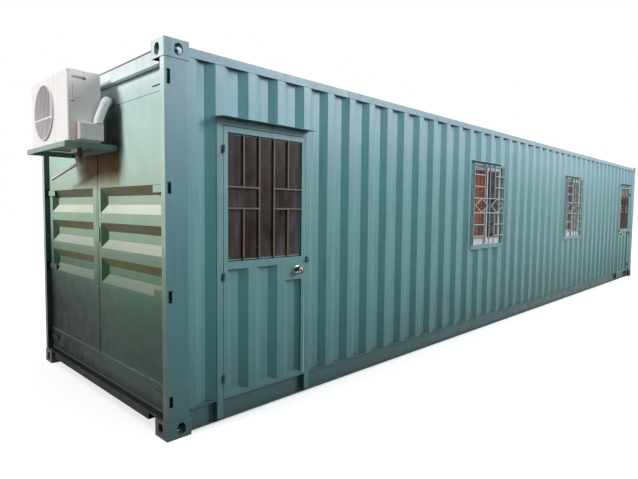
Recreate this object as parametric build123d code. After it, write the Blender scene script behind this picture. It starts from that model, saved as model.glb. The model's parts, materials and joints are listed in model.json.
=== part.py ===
"""Forty-foot steel shipping container fitted out as a cabin.

The container frame (ISO 668, 2591 mm high) carries corrugated steel walls, a ribbed roof and a
plywood floor.  The long front wall has two outward-opening steel doors and two grilled sliding
windows, each under a drip canopy.  The cargo doors at one end are shut for good, because a shelf
with an air-conditioner's outdoor unit is fixed across them.

Everything is drawn in a container frame: x runs from the cargo-door end, y from the outer face of
the front wall inwards, z from the feet of the corner castings.  save() moves it to the part's own
frame, whose origin is at the middle of the whole part's footprint.
"""
from build123d import *
from math import atan2, cos, pi, sin, tan
import os

os.makedirs("parts", exist_ok=True)

# ------------------------------------------------------------------ overall sizes
LENGTH = 12192.0
WIDTH = 2438.0
HEIGHT = 2591.0
SHEET = 2.0               # wall and roof sheet
MOVE_GAP = 5.0            # least room round anything that moves
WELD_GAP = 0.5            # between neighbouring pieces that a weld joins

# corner castings, ISO 1161
CAST_L, CAST_W, CAST_H = 178.0, 162.0, 118.0
CAST_SIDE_WALL, CAST_END_WALL, CAST_CAP = 17.0, 15.0, 28.0
CAST_SIDE_SLOT = (79.5, 63.5)
CAST_CAP_SLOT = (124.0, 63.5)
CAST_EYE_X, CAST_EYE_Y = 103.5, 89.5     # middles of the openings from the end and from the side
CAST_EYE_Z = 62.0

# frame members
FACE = 4.0                # frame members stand this far inside the castings' faces
POST_L, POST_WALL = 166.0, 6.0
NOSE_W, POST_W = 58.0, 95.0
LEAF_SEAT = 104.0         # x where the door-end posts step behind the cargo doors
FAR_POST_W = 120.0
TOP_RAIL, TOP_RAIL_WALL = 60.0, 3.0
TOP_RAIL_Z = 2500.0
BOTTOM_RAIL_Z0, BOTTOM_RAIL_Z1 = 12.5, 174.5
BOTTOM_RAIL_WALL = 4.5
WEB_Y = 48.0              # outer face of the bottom side rail's web
LOWER_FLANGE = 30.0

# corrugated side wall
SKIN = 6.0                # outer flats of the wall sheet, inside the castings' faces
DEPTH = 36.0
PITCH, OUTER_FLAT, SLOPE = 277.0, 72.0, 68.0
INNER_FLAT = PITCH - OUTER_FLAT - 2 * SLOPE
FIRST_RECESS = 220.0
BAYS = 42
SHORT_FLAT = (LENGTH - 2 * FIRST_RECESS - BAYS * PITCH + PITCH - OUTER_FLAT - 4 * SLOPE) / 2
FIRST_BAY = FIRST_RECESS + 2 * SLOPE + SHORT_FLAT + OUTER_FLAT

# floor, linings and ceiling
CROSS_H, CROSS_W, CROSS_WALL = 122.0, 45.0, 4.0
CROSS_COUNT = 38
FLOOR = 28.0
FLOOR_Z = BOTTOM_RAIL_Z0 + 5.5 + CROSS_H
ROOM_Z = FLOOR_Z + FLOOR
LINING = 60.0
LINING_Y = SKIN + DEPTH + SHEET
CEILING_Z = 2440.0
PANEL_JOINT = 3.0

# personnel doors: door 1 near the cargo-door end, door 2 its mirror image
JAMB_X = 386.0            # outer edge of the hinge jamb
JAMB = 50.0
DOORWAY = 794.0
FRAME_Y0 = 2.0
JAMB_FOOT = 38.0
HEAD_Z0, HEAD_Z1 = 2100.0, 2140.0
LEAF_Y0, LEAF_Y1 = 2.0, 42.0
LEAF_Z0, LEAF_Z1 = 168.0, 2095.0
LEAF_X0 = JAMB_X + JAMB + MOVE_GAP
LEAF_X1 = JAMB_X + JAMB + DOORWAY - MOVE_GAP
STILE = 36.0
GLASS_Z0, GLASS_Z1 = 1147.0, 2056.0
MID_RAIL_Z0 = 1093.0
LOCK_PLATE = (935.0, 965.0)      # left edge and lower edge of the flat plate round the lock
BOTTOM_LEDGE = (195.0, 215.0)    # slanting closure at the foot of the recesses
GLASS = 6.0
DOOR_GLASS_Y = 20.0
BAR = 12.0
HINGE_Z = (1936.0, 1045.0, 316.0)
KNUCKLE_R, KNUCKLE_H = 8.0, 27.0
PIN_R, PIN_CLEAR = 4.0, 0.3
KNOB_X, KNOB_Z = 1145.0, 1040.0

# windows
WINDOW_X = (4035.0, 7352.0)
WINDOW_W = 908.0
WINDOW_Z0, WINDOW_Z1 = 1049.0, 2128.0
BAND_SIDE, BAND_FOOT, BAND_HEAD = 66.0, 51.0, 38.0     # faces of the steel surround
BAND_T, LINER = 6.0, 20.0
STILE_W, MEETING_W = 42.0, 28.0
RAIL_FOOT, RAIL_HEAD = 70.0, 34.0
SASH_T = 20.0
OUTER_TRACK, INNER_TRACK = 20.0, 42.0
PANE = 5.0
GRILLE_BAR = 12.0
GRILLE_Y = -20.0
GRILLE_HALF = 430.0
GRILLE_EDGE, GRILLE_INNER = 416.0, 140.0               # uprights, out from the middle
GRILLE_Z = (1210.0, 1355.0, 1502.0, 1685.0, 1828.0, 1974.0)
DIAMOND_X, DIAMOND_REACH = 214.0, 168.0

# drip canopies
CANOPY_OUT, WINDOW_CANOPY_OUT = 90.0, 32.0
CANOPY = 3.0

# cargo doors
LEAF_FACE = 50.0
SEAM = 4.0
CARGO_Z0, CARGO_Z1 = 138.0, 2430.0
CARGO_BANDS = ((2286.0, CARGO_Z1), (CARGO_Z0, 334.0))     # rails standing proud of the sheet
BAND_OUT = 3.0
CARGO_RECESSES = ((922.0, 1124.0), (1200.0, 1402.0), (1478.0, 1680.0))

# outdoor unit and its shelf
SHELF_OUT = 322.0
SHELF_Y0, SHELF_Y1 = 800.0, 1680.0
SHELF_Z = 1986.0
ANGLE, ANGLE_WALL = 38.0, 4.0
SLAT_Y = (900.0, 1010.0, 1230.0, 1345.0, 1455.0, 1565.0)
SLAT_W = 42.0
AC_X0, AC_DEPTH = -296.0, 234.0
AC_Y0, AC_W = 812.0, 810.0
AC_Z0, AC_H = 1995.0, 497.0
FAN_Y, FAN_Z, FAN_R = 1303.0, 2241.0, 192.0

# the part's own frame
TO_ORIGIN = Location((-(LENGTH - SHELF_OUT) / 2, -(WIDTH - CANOPY_OUT) / 2, 0))


def save(name, *pieces):
    """Write one node, as one solid or as several that don't touch."""
    solids = [solid for piece in pieces for solid in piece.solids()]
    shape = solids[0] if len(solids) == 1 else Compound(solids)
    export_step(shape.moved(TO_ORIGIN), f"parts/{name}.step")


def block(x0, x1, y0, y1, z0, z1):
    """A box between two corners."""
    centre = Pos((x0 + x1) / 2, (y0 + y1) / 2, (z0 + z1) / 2)
    return centre * Box(x1 - x0, y1 - y0, z1 - z0)


def rod(start, end, radius):
    """A round bar from start to end."""
    axis = Vector(*end) - Vector(*start)
    plane = Plane(origin=start, z_dir=axis)
    return extrude(plane * Circle(radius), axis.length)


def prism(points, z0, z1):
    """A polygon in plan, raised from z0 to z1."""
    return Pos(0, 0, z0) * extrude(make_face(Polyline(*points, close=True)), z1 - z0)


def to_back(piece):
    """Mirror a piece of the front side to the back side."""
    return Pos(0, WIDTH, 0) * mirror(piece, Plane.XZ)


def to_far(piece):
    """Mirror a piece of the door-1 half to the door-2 half."""
    return Pos(LENGTH, 0, 0) * mirror(piece, Plane.YZ)


# ------------------------------------------------------------------ corner castings
def casting():
    """The casting at the front corner of the cargo-door end, standing on z = 0."""
    body = block(0, CAST_L, 0, CAST_W, 0, CAST_H)
    body -= block(CAST_END_WALL, CAST_L - CAST_END_WALL, CAST_SIDE_WALL, CAST_W - CAST_SIDE_WALL,
                  CAST_CAP, CAST_H - CAST_CAP / 2)
    high, wide = CAST_SIDE_SLOT
    side = Plane(origin=(CAST_EYE_X, 0, CAST_EYE_Z), x_dir=(0, 0, 1), z_dir=(0, 1, 0))
    end = Plane(origin=(0, CAST_EYE_Y, CAST_EYE_Z), x_dir=(0, 0, 1), z_dir=(1, 0, 0))
    body -= extrude(side * SlotOverall(high, wide), CAST_SIDE_WALL + 1)
    body -= extrude(end * SlotOverall(high, wide), CAST_END_WALL + 1)
    cap = Plane(origin=(CAST_EYE_X, CAST_EYE_Y, 0))
    body -= extrude(cap * SlotOverall(*CAST_CAP_SLOT), CAST_CAP + 1)
    return body


foot = casting()
feet = [foot, to_back(foot), to_far(foot), to_far(to_back(foot))]
save("bottom_corner_castings", *feet)
save("top_corner_castings", *[Pos(0, 0, HEIGHT) * mirror(piece, Plane.XY) for piece in feet])

# ------------------------------------------------------------------ posts and rails
def tube(outline, wall):
    """A hollow post with the given outline."""
    face = make_face(Polyline(*outline, close=True))
    return extrude(face - offset(face, -wall), HEIGHT - 2 * CAST_H)


def door_end_post():
    """Stepped post beside the cargo doors, notched for the hinge lugs."""
    outline = [(FACE, FACE), (POST_L, FACE), (POST_L, POST_W), (LEAF_SEAT, POST_W),
               (LEAF_SEAT, NOSE_W), (FACE, NOSE_W)]
    post = Pos(0, 0, CAST_H) * tube(outline, POST_WALL)
    for z0, z1 in LUG_NOTCHES:
        notch = block(NOTCH_X0, NOTCH_X1, 0, 20, z0, z1)
        post -= notch + block(NOTCH_X0, LEAF_FACE + 6, 10, NOSE_W + 1, z0, z1)
        post += block(NOTCH_X0 - 2, NOTCH_X0 + 12, FACE + 3, FACE + 12, z0 - 4, z1 + 4)
    return post


NOTCH_X0, NOTCH_X1 = FACE + POST_WALL, 46.0
LUG_NOTCHES = ((220, 294), (910, 990), (1614, 1690), (2304, 2396))
post = door_end_post()
save("door_end_posts", post, to_back(post))

far_outline = [(LENGTH - POST_L, FACE), (LENGTH - FACE, FACE), (LENGTH - FACE, FAR_POST_W),
               (LENGTH - POST_L, FAR_POST_W)]
far_post = Pos(0, 0, CAST_H) * tube(far_outline, POST_WALL)
save("far_end_posts", far_post, to_back(far_post))


def box_tube(x0, x1, y0, y1, z0, z1, wall, axis):
    """A rectangular tube, open at both ends along the axis."""
    grow = {"x": (0, wall, wall), "y": (wall, 0, wall), "z": (wall, wall, 0)}[axis]
    inner = block(x0 + grow[0], x1 - grow[0], y0 + grow[1], y1 - grow[1], z0 + grow[2], z1 - grow[2])
    return block(x0, x1, y0, y1, z0, z1) - inner


top_rail = box_tube(CAST_L, LENGTH - CAST_L, FACE, FACE + TOP_RAIL, TOP_RAIL_Z,
                    TOP_RAIL_Z + TOP_RAIL, TOP_RAIL_WALL, "x")
save("top_side_rails", top_rail, to_back(top_rail))


def channel(x0, x1):
    """Bottom side rail: web set back, flanges pointing outwards."""
    wall = BOTTOM_RAIL_WALL
    back = WEB_Y + wall
    web = block(x0, x1, WEB_Y, back, BOTTOM_RAIL_Z0, BOTTOM_RAIL_Z1)
    upper = block(x0, x1, FACE, back, BOTTOM_RAIL_Z1 - wall, BOTTOM_RAIL_Z1)
    lower = block(x0, x1, back - LOWER_FLANGE, back, BOTTOM_RAIL_Z0, BOTTOM_RAIL_Z0 + wall)
    return web + upper + lower


doorway_cut = block(JAMB_X, JAMB_X + 2 * JAMB + DOORWAY, 0, WEB_Y, LEAF_Z0 - MOVE_GAP, 200)
bottom_rail = channel(CAST_L, LENGTH - CAST_L)
front_rail = bottom_rail - doorway_cut - to_far(doorway_cut)
save("bottom_side_rails", front_rail, to_back(bottom_rail))

HEADER_X1, HEADER_Z0, HEADER_Z1 = 96.0, 2436.0, 2532.0
CAST_FOOT_Z = HEIGHT - CAST_H
header = box_tube(FACE, HEADER_X1, CAST_W + WELD_GAP, WIDTH - CAST_W - WELD_GAP, HEADER_Z0,
                  HEADER_Z1, 4, "y")


def header_end():
    """Stub under the top casting, cut away in a triangle beside the post."""
    y0, y1, z0, z1 = NOSE_W + 6, CAST_W - WELD_GAP, HEADER_Z0, CAST_FOOT_Z - WELD_GAP
    front = Plane(origin=(FACE, 0, 0), x_dir=(0, 1, 0), z_dir=(1, 0, 0))
    points = [(y0, z0), (y1, z0), (y1, z1), (y1 - 4, z1), (y0, z0 + 8)]
    face = extrude(front * make_face(Polyline(*points, close=True)), HEADER_X1 - FACE)
    return face + block(HEADER_X1 - 36, HEADER_X1, y0, y1, z0, z1)


save("door_header", header, header_end(), to_back(header_end()))

SILL_X1, SILL_Z0, SILL_Z1 = 140.0, 72.0, 133.0
SILL_WALL = 5.0
POCKET_W, POCKET_Z1 = 97.0, 120.0
sill = box_tube(FACE, SILL_X1, CAST_W, WIDTH - CAST_W, SILL_Z0, SILL_Z1, SILL_WALL, "y")
for y0 in (CAST_W + SILL_WALL, WIDTH - CAST_W - SILL_WALL - POCKET_W):
    sill -= block(0, SILL_X1 - SILL_WALL, y0, y0 + POCKET_W, SILL_Z0 - 1, POCKET_Z1)
ledge = block(FACE + 2, LEAF_SEAT, NOSE_W + WELD_GAP, CAST_W - WELD_GAP, CAST_H, SILL_Z1)
save("door_sill", sill, ledge, to_back(ledge))

far_top = box_tube(LENGTH - 64, LENGTH - FACE, CAST_W, WIDTH - CAST_W, TOP_RAIL_Z, 2560, 3, "y")
far_bottom = box_tube(LENGTH - 64, LENGTH - FACE, CAST_W, WIDTH - CAST_W, BOTTOM_RAIL_Z0, 147, 4, "y")
save("far_end_rails", far_top, far_bottom)

# ------------------------------------------------------------------ floor
def cross_member(x):
    """One C-shaped bearer between the bottom side rails."""
    z0 = FLOOR_Z - CROSS_H
    y0, y1 = WEB_Y + BOTTOM_RAIL_WALL, WIDTH - WEB_Y - BOTTOM_RAIL_WALL
    bar = block(x, x + CROSS_W, y0, y1, z0, FLOOR_Z)
    hollow = block(x + CROSS_WALL, x + CROSS_W + 1, y0 - 1, y1 + 1, z0 + CROSS_WALL, FLOOR_Z - CROSS_WALL)
    return bar - hollow


cross_start, cross_end = 330.0, LENGTH - 330.0 - CROSS_W
cross_step = (cross_end - cross_start) / (CROSS_COUNT - 1)
save("cross_members", *[cross_member(cross_start + i * cross_step) for i in range(CROSS_COUNT)])

floor_y = WEB_Y + BOTTOM_RAIL_WALL
save("floor", block(CAST_L, LENGTH - CAST_L, floor_y, WIDTH - floor_y, FLOOR_Z, ROOM_Z))


# ------------------------------------------------------------------ corrugated sheets
def recess(start, inner):
    """The four bends of one recess: place, depth and which way the slope faces."""
    return [(start, 0.0, -1), (start + SLOPE, DEPTH, -1),
            (start + SLOPE + inner, DEPTH, 1), (start + 2 * SLOPE + inner, 0.0, 1)]


def corrugated(bends, start, end, z0, z1):
    """A sheet along x with upright corrugations; start and end lie on outer flats."""
    lean = SHEET * tan(atan2(DEPTH, SLOPE) / 2)
    inside = [bend for bend in bends if start < bend[0] < end]
    outer = [(x, y) for x, y, side in inside]
    inner = [(x + side * lean, y + SHEET) for x, y, side in inside]
    points = [(start, 0), *outer, (end, 0), (end, SHEET), *reversed(inner), (start, SHEET)]
    return prism(points, z0, z1)


side_bends = recess(FIRST_RECESS, SHORT_FLAT)
for bay in range(BAYS - 1):
    side_bends += recess(FIRST_BAY + bay * PITCH, INNER_FLAT)
side_bends += recess(LENGTH - FIRST_RECESS - 2 * SLOPE - SHORT_FLAT, SHORT_FLAT)


casting_room = block(0, CAST_L, 0, CAST_W, HEIGHT - CAST_H, HEIGHT)
casting_rooms = [casting_room, to_back(casting_room), to_far(casting_room), to_far(to_back(casting_room))]


def side_sheet(x0, x1, z0=BOTTOM_RAIL_Z1, z1=TOP_RAIL_Z):
    """A length of the front wall's sheet, notched round the top castings."""
    return Pos(0, SKIN, 0) * corrugated(side_bends, x0, x1, z0, z1) - casting_rooms


door_x0, door_x1 = JAMB_X, JAMB_X + 2 * JAMB + DOORWAY
side_wall = side_sheet(POST_L, door_x0)
middle_wall = side_sheet(door_x1, LENGTH - door_x1)
wall_openings = [(x + BAND_SIDE - LINER, x + WINDOW_W - BAND_SIDE + LINER) for x in WINDOW_X]
opening_z0, opening_z1 = WINDOW_Z0 + BAND_FOOT - LINER, WINDOW_Z1 - BAND_HEAD + LINER
for x0, x1 in wall_openings:
    middle_wall -= block(x0, x1, 0, 100, opening_z0, opening_z1)
save("front_wall", side_wall, middle_wall, to_far(side_wall))
over_door = side_sheet(door_x0, door_x1, z0=HEAD_Z1)
save("front_wall_over_doors", over_door, to_far(over_door))
save("back_wall", to_back(side_sheet(POST_L, LENGTH - POST_L)))

END_RECESSES = 8
end_span = WIDTH - 2 * FAR_POST_W
end_pitch = (end_span - 60) / END_RECESSES
end_bends = []
for i in range(END_RECESSES):
    end_bends += recess(FAR_POST_W + 30 + (i + 0.5) * end_pitch - SLOPE - 35, 70.0)
end_sheet = corrugated(end_bends, FAR_POST_W, WIDTH - FAR_POST_W, 147, TOP_RAIL_Z)
save("far_end_wall", Pos(LENGTH - SKIN, 0, 0) * Rot(0, 0, 90) * end_sheet - casting_rooms)

# ------------------------------------------------------------------ roof
RIB_PITCH, RIB_BASE, RIB_TOP, RIB_H = 209.0, 118.0, 91.0, 20.0
RIB_Y0, RIB_END = 100.0, 45.0
ROOF_Z = TOP_RAIL_Z + TOP_RAIL
RIBS = 56


def rib(x, grow, lift):
    """One stamped rib across the roof: a low hip with sloping ends."""
    y0, middle = RIB_Y0 - grow, WIDTH / 2
    base = Plane(origin=(x, middle, ROOF_Z + lift)) * Rectangle(RIB_BASE + 2 * grow, WIDTH - 2 * y0)
    top_y = WIDTH - 2 * (y0 + RIB_END)
    top = Plane(origin=(x, middle, ROOF_Z + lift + RIB_H)) * Rectangle(RIB_TOP + 2 * grow, top_y)
    return loft([base.face(), top.face()])


rib_x = [LENGTH / 2 + (i - (RIBS - 1) / 2) * RIB_PITCH for i in range(RIBS)]
roof = block(CAST_L, LENGTH - CAST_L, 10, WIDTH - 10, ROOF_Z, ROOF_Z + SHEET)
roof += [rib(x, 0, SHEET) for x in rib_x]
roof -= [rib(x, -SHEET / 2, 0) for x in rib_x]
far_plate = to_far(block(10, CAST_L - WELD_GAP, CAST_W, WIDTH - CAST_W, ROOF_Z, ROOF_Z + SHEET))
step_profile = [(FACE - 2, HEADER_Z1), (HEADER_X1 + 14, HEADER_Z1), (CAST_L - WELD_GAP, ROOF_Z),
                (CAST_L - WELD_GAP, ROOF_Z + SHEET), (HEADER_X1 + 13, HEADER_Z1 + SHEET),
                (FACE - 2, HEADER_Z1 + SHEET)]
across = Plane(origin=(0, WIDTH - CAST_W, 0), x_dir=(1, 0, 0), z_dir=(0, -1, 0))
stepped_plate = extrude(across * make_face(Polyline(*step_profile, close=True)), WIDTH - 2 * CAST_W)
save("roof", roof, stepped_plate, far_plate)

# ------------------------------------------------------------------ linings and ceiling
lining_z0, lining_z1 = ROOM_Z, CEILING_Z


def front_panel(x0, x1, z0=lining_z0, z1=lining_z1):
    return block(x0, x1, LINING_Y, LINING_Y + LINING, z0, z1)


room_x0, room_x1 = POST_L, LENGTH - POST_L
open_x0, open_x1 = JAMB_X + JAMB, JAMB_X + JAMB + DOORWAY
near_panel = front_panel(room_x0, open_x0) - block(0, open_x0, 0, WEB_Y + 5, 0, 180)
middle_panel = front_panel(open_x1, LENGTH - open_x1)
for x0, x1 in wall_openings:
    middle_panel -= block(x0, x1, 0, 200, opening_z0, opening_z1)
lintel_panel = front_panel(open_x0 + PANEL_JOINT, open_x1 - PANEL_JOINT, z0=HEAD_Z1)
frame_clear = block(JAMB_X - 1, JAMB_X + 2 * JAMB + DOORWAY + 1, 0, FRAME_Y0 + 52, 0, HEAD_Z1)
pieces = [near_panel - frame_clear, middle_panel - frame_clear - to_far(frame_clear), lintel_panel]
rail_clear = block(0, LENGTH, 0, WEB_Y + BOTTOM_RAIL_WALL, 0, BOTTOM_RAIL_Z1)
pieces = [piece - rail_clear for piece in pieces]
save("front_lining", *pieces, to_far(pieces[0]), to_far(pieces[2]))
back_panel = block(room_x0, room_x1, LINING_Y, LINING_Y + LINING, lining_z0, lining_z1) - rail_clear
save("back_lining", to_back(back_panel))
inner_y0 = LINING_Y + LINING
save("end_linings",
     block(room_x0, room_x0 + LINING, inner_y0, WIDTH - inner_y0, lining_z0, lining_z1),
     block(room_x1 - LINING, room_x1, inner_y0, WIDTH - inner_y0, lining_z0, lining_z1))
ceiling_y = TOP_RAIL + FACE
save("ceiling", block(CAST_L, LENGTH - CAST_L, ceiling_y, WIDTH - ceiling_y, CEILING_Z, ROOF_Z))


# ------------------------------------------------------------------ cargo doors
def cargo_leaf(y0, y1):
    """One cargo door: a tube frame, a flat sheet and three tapered recesses across it."""
    x0, x1 = LEAF_FACE, LEAF_SEAT - 4
    ring = block(x0, x1, y0, y1, CARGO_Z0, CARGO_Z1)
    ring -= block(x0 - 1, x1 + 1, y0 + 55, y1 - 55, CARGO_Z0 + 80, CARGO_Z1 - 80)
    leaf = ring + block(x0, x0 + SHEET, y0, y1, CARGO_Z0, CARGO_Z1)
    leaf += [block(x0 - BAND_OUT, x0 + 1, y0, y1, z0, z1) for z0, z1 in CARGO_BANDS]
    leaf += block(x0 - BAND_OUT, x0 + 1, y1 - 26, y1, CARGO_Z0, CARGO_Z1)

    def pocket(z0, z1, grow, depth):
        wide, high = y1 - y0 - 150 + 2 * grow, z1 - z0 + 2 * grow
        middle = ((y0 + y1) / 2, (z0 + z1) / 2)
        faces = []
        for x, shrink in ((x0, 0), (x0 + depth, SLOPE)):
            plane = Plane(origin=(x, *middle), x_dir=(0, 1, 0), z_dir=(1, 0, 0))
            faces.append((plane * Rectangle(wide - 2 * shrink, high - 2 * shrink)).face())
        return loft(faces)

    leaf += [pocket(z0, z1, SHEET, DEPTH + SHEET) for z0, z1 in CARGO_RECESSES]
    leaf -= [pocket(z0, z1, 0, DEPTH) for z0, z1 in CARGO_RECESSES]
    return leaf


leaf_y0, leaf_y1 = NOSE_W + SEAM, WIDTH / 2 - SEAM / 2
right_leaf = cargo_leaf(leaf_y0, leaf_y1)
save("end_door_right", right_leaf)
save("end_door_left", to_back(right_leaf))


def cargo_hinge(z0, z1):
    """A forged blade on the leaf and its barrel in the post's notch."""
    middle = (z0 + z1) / 2
    seat = LEAF_FACE
    if any(low < middle < high for low, high in CARGO_BANDS):
        seat -= BAND_OUT
    blade = block(seat - 10, seat, 29, 240, middle - 24, middle + 24)
    barrel = rod((29, 29, middle - 30), (29, 29, middle + 30), 11)
    return blade + block(25, seat, 22, 36, middle - 24, middle + 24) + barrel


hinges = [cargo_hinge(z0, z1) for z0, z1 in LUG_NOTCHES]
save("end_door_hinges", *hinges, *[to_back(hinge) for hinge in hinges])

latch_x, latch_y = LEAF_FACE - BAND_OUT, WIDTH / 2 - 62
save("end_door_latch_plate", block(latch_x - 6, latch_x, latch_y, latch_y + 58, 1247, 1366))


# ------------------------------------------------------------------ drip canopies
def canopy(x0, x1, z, out):
    """A sloping plate above an opening."""
    points = [(SKIN, z + 6), (-out, z), (-out, z + CANOPY), (SKIN, z + 6 + CANOPY)]
    plane = Plane(origin=(x0, 0, 0), x_dir=(0, 1, 0), z_dir=(1, 0, 0))
    return extrude(plane * make_face(Polyline(*points, close=True)), x1 - x0)


door_canopy = canopy(370, 1265, 2144, CANOPY_OUT)
window_canopies = [canopy(x, x + WINDOW_W - 100, WINDOW_Z1 + 3, WINDOW_CANOPY_OUT) for x in WINDOW_X]
save("drip_canopies", door_canopy, to_far(door_canopy), *window_canopies)


# ------------------------------------------------------------------ personnel doors
def door_frame():
    """Jambs that run down over the bottom rail, a head, stops and a threshold plate."""
    y0, y1 = FRAME_Y0, WEB_Y
    jamb = block(JAMB_X, JAMB_X + JAMB, y0, y1, JAMB_FOOT, HEAD_Z1)
    frame = jamb + Pos(JAMB + DOORWAY, 0, 0) * jamb
    frame += block(JAMB_X, door_x1, y0, y1, HEAD_Z0, HEAD_Z1)
    stop_y0, stop_y1 = LEAF_Y1 + MOVE_GAP, LEAF_Y1 + MOVE_GAP + 6
    z0 = BOTTOM_RAIL_Z1
    stop = block(JAMB_X + 30, open_x0 + 12, stop_y0, stop_y1, z0, HEAD_Z1)
    frame += stop + block(open_x1 - 12, open_x1 + 20, stop_y0, stop_y1, z0, HEAD_Z1)
    frame += block(JAMB_X + 30, open_x1 + 20, stop_y0, stop_y1, HEAD_Z0 - 12, HEAD_Z1)
    frame += block(open_x0, open_x1, stop_y0, inner_y0 + 8, z0, z0 + 3)
    return frame


def door_leaf():
    """Welded leaf: tube stiles and rails round a piece of the wall's own corrugated sheet."""
    x0, x1 = LEAF_X0, LEAF_X1
    leaf = block(x0, x1, LEAF_Y0, LEAF_Y1, LEAF_Z0, LEAF_Z1)
    leaf -= block(x0 + STILE, x1 - STILE, 0, 50, GLASS_Z0, GLASS_Z1)
    leaf -= block(x0 + STILE, x1 - STILE, 0, 50, BOTTOM_LEDGE[0], MID_RAIL_Z0)
    sheet = side_sheet(JAMB_X, door_x1, BOTTOM_LEDGE[0] - 10, MID_RAIL_Z0 + 10)
    sheet = Pos(0, LEAF_Y0 - SKIN, 0) * sheet
    panel = sheet & block(x0 + STILE - 5, x1 - STILE + 5, 0, 60, BOTTOM_LEDGE[0] - 10, MID_RAIL_Z0 + 10)
    leaf += panel
    plate_x, plate_z = LOCK_PLATE
    leaf += block(plate_x, x1 - STILE + 5, LEAF_Y0, LEAF_Y0 + DEPTH, plate_z, MID_RAIL_Z0 + 5)
    lo, hi = BOTTOM_LEDGE
    wedge = Plane(origin=(x0 + STILE - 5, 0, 0), x_dir=(0, 1, 0), z_dir=(1, 0, 0))
    points = [(LEAF_Y0, lo - 5), (LEAF_Y1, lo - 5), (LEAF_Y1, hi), (LEAF_Y0 + DEPTH, hi), (LEAF_Y0, lo)]
    leaf += extrude(wedge * make_face(Polyline(*points, close=True)), x1 - x0 - 2 * STILE + 10)
    return leaf


def door_glass():
    x0, x1 = LEAF_X0 + STILE, LEAF_X1 - STILE
    return block(x0, x1, DOOR_GLASS_Y, DOOR_GLASS_Y + GLASS, GLASS_Z0, GLASS_Z1)


def door_bars():
    """Four upright bars; short crossbars tie the outer pairs, whose outer bar is broken there."""
    x0, x1 = LEAF_X0 + STILE, LEAF_X1 - STILE
    step = (x1 - x0) / 5
    y0 = LEAF_Y0 + 3
    cross = (1527.0, 1679.0)
    uprights = [x0 + i * step for i in (1, 2, 3, 4)]
    parts = []
    for i, x in enumerate(uprights):
        spans = ((GLASS_Z0, GLASS_Z1),) if i in (1, 2) else ((GLASS_Z0, cross[0]), (cross[1], GLASS_Z1))
        parts += [block(x - BAR / 2, x + BAR / 2, y0, y0 + BAR, a, b) for a, b in spans]
    left, right = uprights[1], uprights[2]
    for z in cross:
        parts.append(block(x0, left, y0, y0 + BAR, z - BAR / 2, z + BAR / 2))
        parts.append(block(right, x1, y0, y0 + BAR, z - BAR / 2, z + BAR / 2))
    bars = parts[0]
    for part in parts[1:]:
        bars += part
    return bars


HINGE_AXIS_X = JAMB_X + JAMB + MOVE_GAP / 2
HINGE_AXIS_Y = FRAME_Y0 - KNUCKLE_R - 0.5


def leaf_knuckle(z):
    """Upper half of a hinge, on the leaf, bored for the pin."""
    x, y = HINGE_AXIS_X, HINGE_AXIS_Y
    knuckle = rod((x, y, z + 0.5), (x, y, z + 0.5 + KNUCKLE_H), KNUCKLE_R)
    knuckle += block(x, x + 12, y, LEAF_Y0, z + 2, z + KNUCKLE_H - 2)
    return knuckle - rod((x, y, z), (x, y, z + 24), PIN_R + PIN_CLEAR)


def jamb_knuckle(z):
    """Lower half of a hinge, on the jamb, with its pin standing up."""
    x, y = HINGE_AXIS_X, HINGE_AXIS_Y
    knuckle = rod((x, y, z - 0.5 - KNUCKLE_H), (x, y, z - 0.5), KNUCKLE_R)
    knuckle += block(x - 12, x, y, FRAME_Y0, z - KNUCKLE_H + 2, z - 2)
    return knuckle + rod((x, y, z - 1), (x, y, z + 22), PIN_R)


def knob():
    """Round knobs outside and inside on one spindle."""
    profile = [(0, 0), (12, 0), (12, 14), (22, 19), (29, 28), (31, 38), (28, 48), (19, 55), (0, 58)]
    face = make_face(Polyline(*profile, close=True))
    outer = revolve(Plane.XZ * face, Axis.Z)
    outside = Pos(KNOB_X, LEAF_Y0 - 4, KNOB_Z) * Rot(90, 0, 0) * outer
    inside = Pos(KNOB_X, LEAF_Y1 + 4, KNOB_Z) * Rot(-90, 0, 0) * outer
    spindle = rod((KNOB_X, LEAF_Y0 - 5, KNOB_Z), (KNOB_X, LEAF_Y1 + 5, KNOB_Z), 7)
    return outside + spindle + inside


def staple():
    """Padlock eye welded to the lock jamb."""
    x, z = open_x1 + 14, 1118
    plate = Plane(origin=(x, 0, z), x_dir=(0, 1, 0), z_dir=(1, 0, 0))
    points = [(FRAME_Y0, -26), (FRAME_Y0, 26), (FRAME_Y0 - 14, 26), (FRAME_Y0 - 36, 2), (FRAME_Y0 - 14, -26)]
    eye = extrude(plate * make_face(Polyline(*points, close=True)), 8)
    return eye - rod((x - 1, FRAME_Y0 - 14, z), (x + 9, FRAME_Y0 - 14, z), 7)


frame = door_frame() + staple()
leaf = door_leaf() - rod((KNOB_X, 0, KNOB_Z), (KNOB_X, 50, KNOB_Z), 7.5)
leaf_knuckles = [leaf_knuckle(z) for z in HINGE_Z]
jamb_knuckles = [jamb_knuckle(z) for z in HINGE_Z]
for number, place in ((1, lambda piece: piece), (2, to_far)):
    save(f"door_{number}_frame", place(frame))
    save(f"door_{number}_leaf", place(leaf))
    save(f"door_{number}_glass", place(door_glass()))
    save(f"door_{number}_bars", place(door_bars()))
    save(f"door_{number}_hinges", *[place(piece) for piece in leaf_knuckles])
    save(f"door_{number}_hinge_pins", *[place(piece) for piece in jamb_knuckles])
    save(f"door_{number}_knob", place(knob()))


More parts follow.
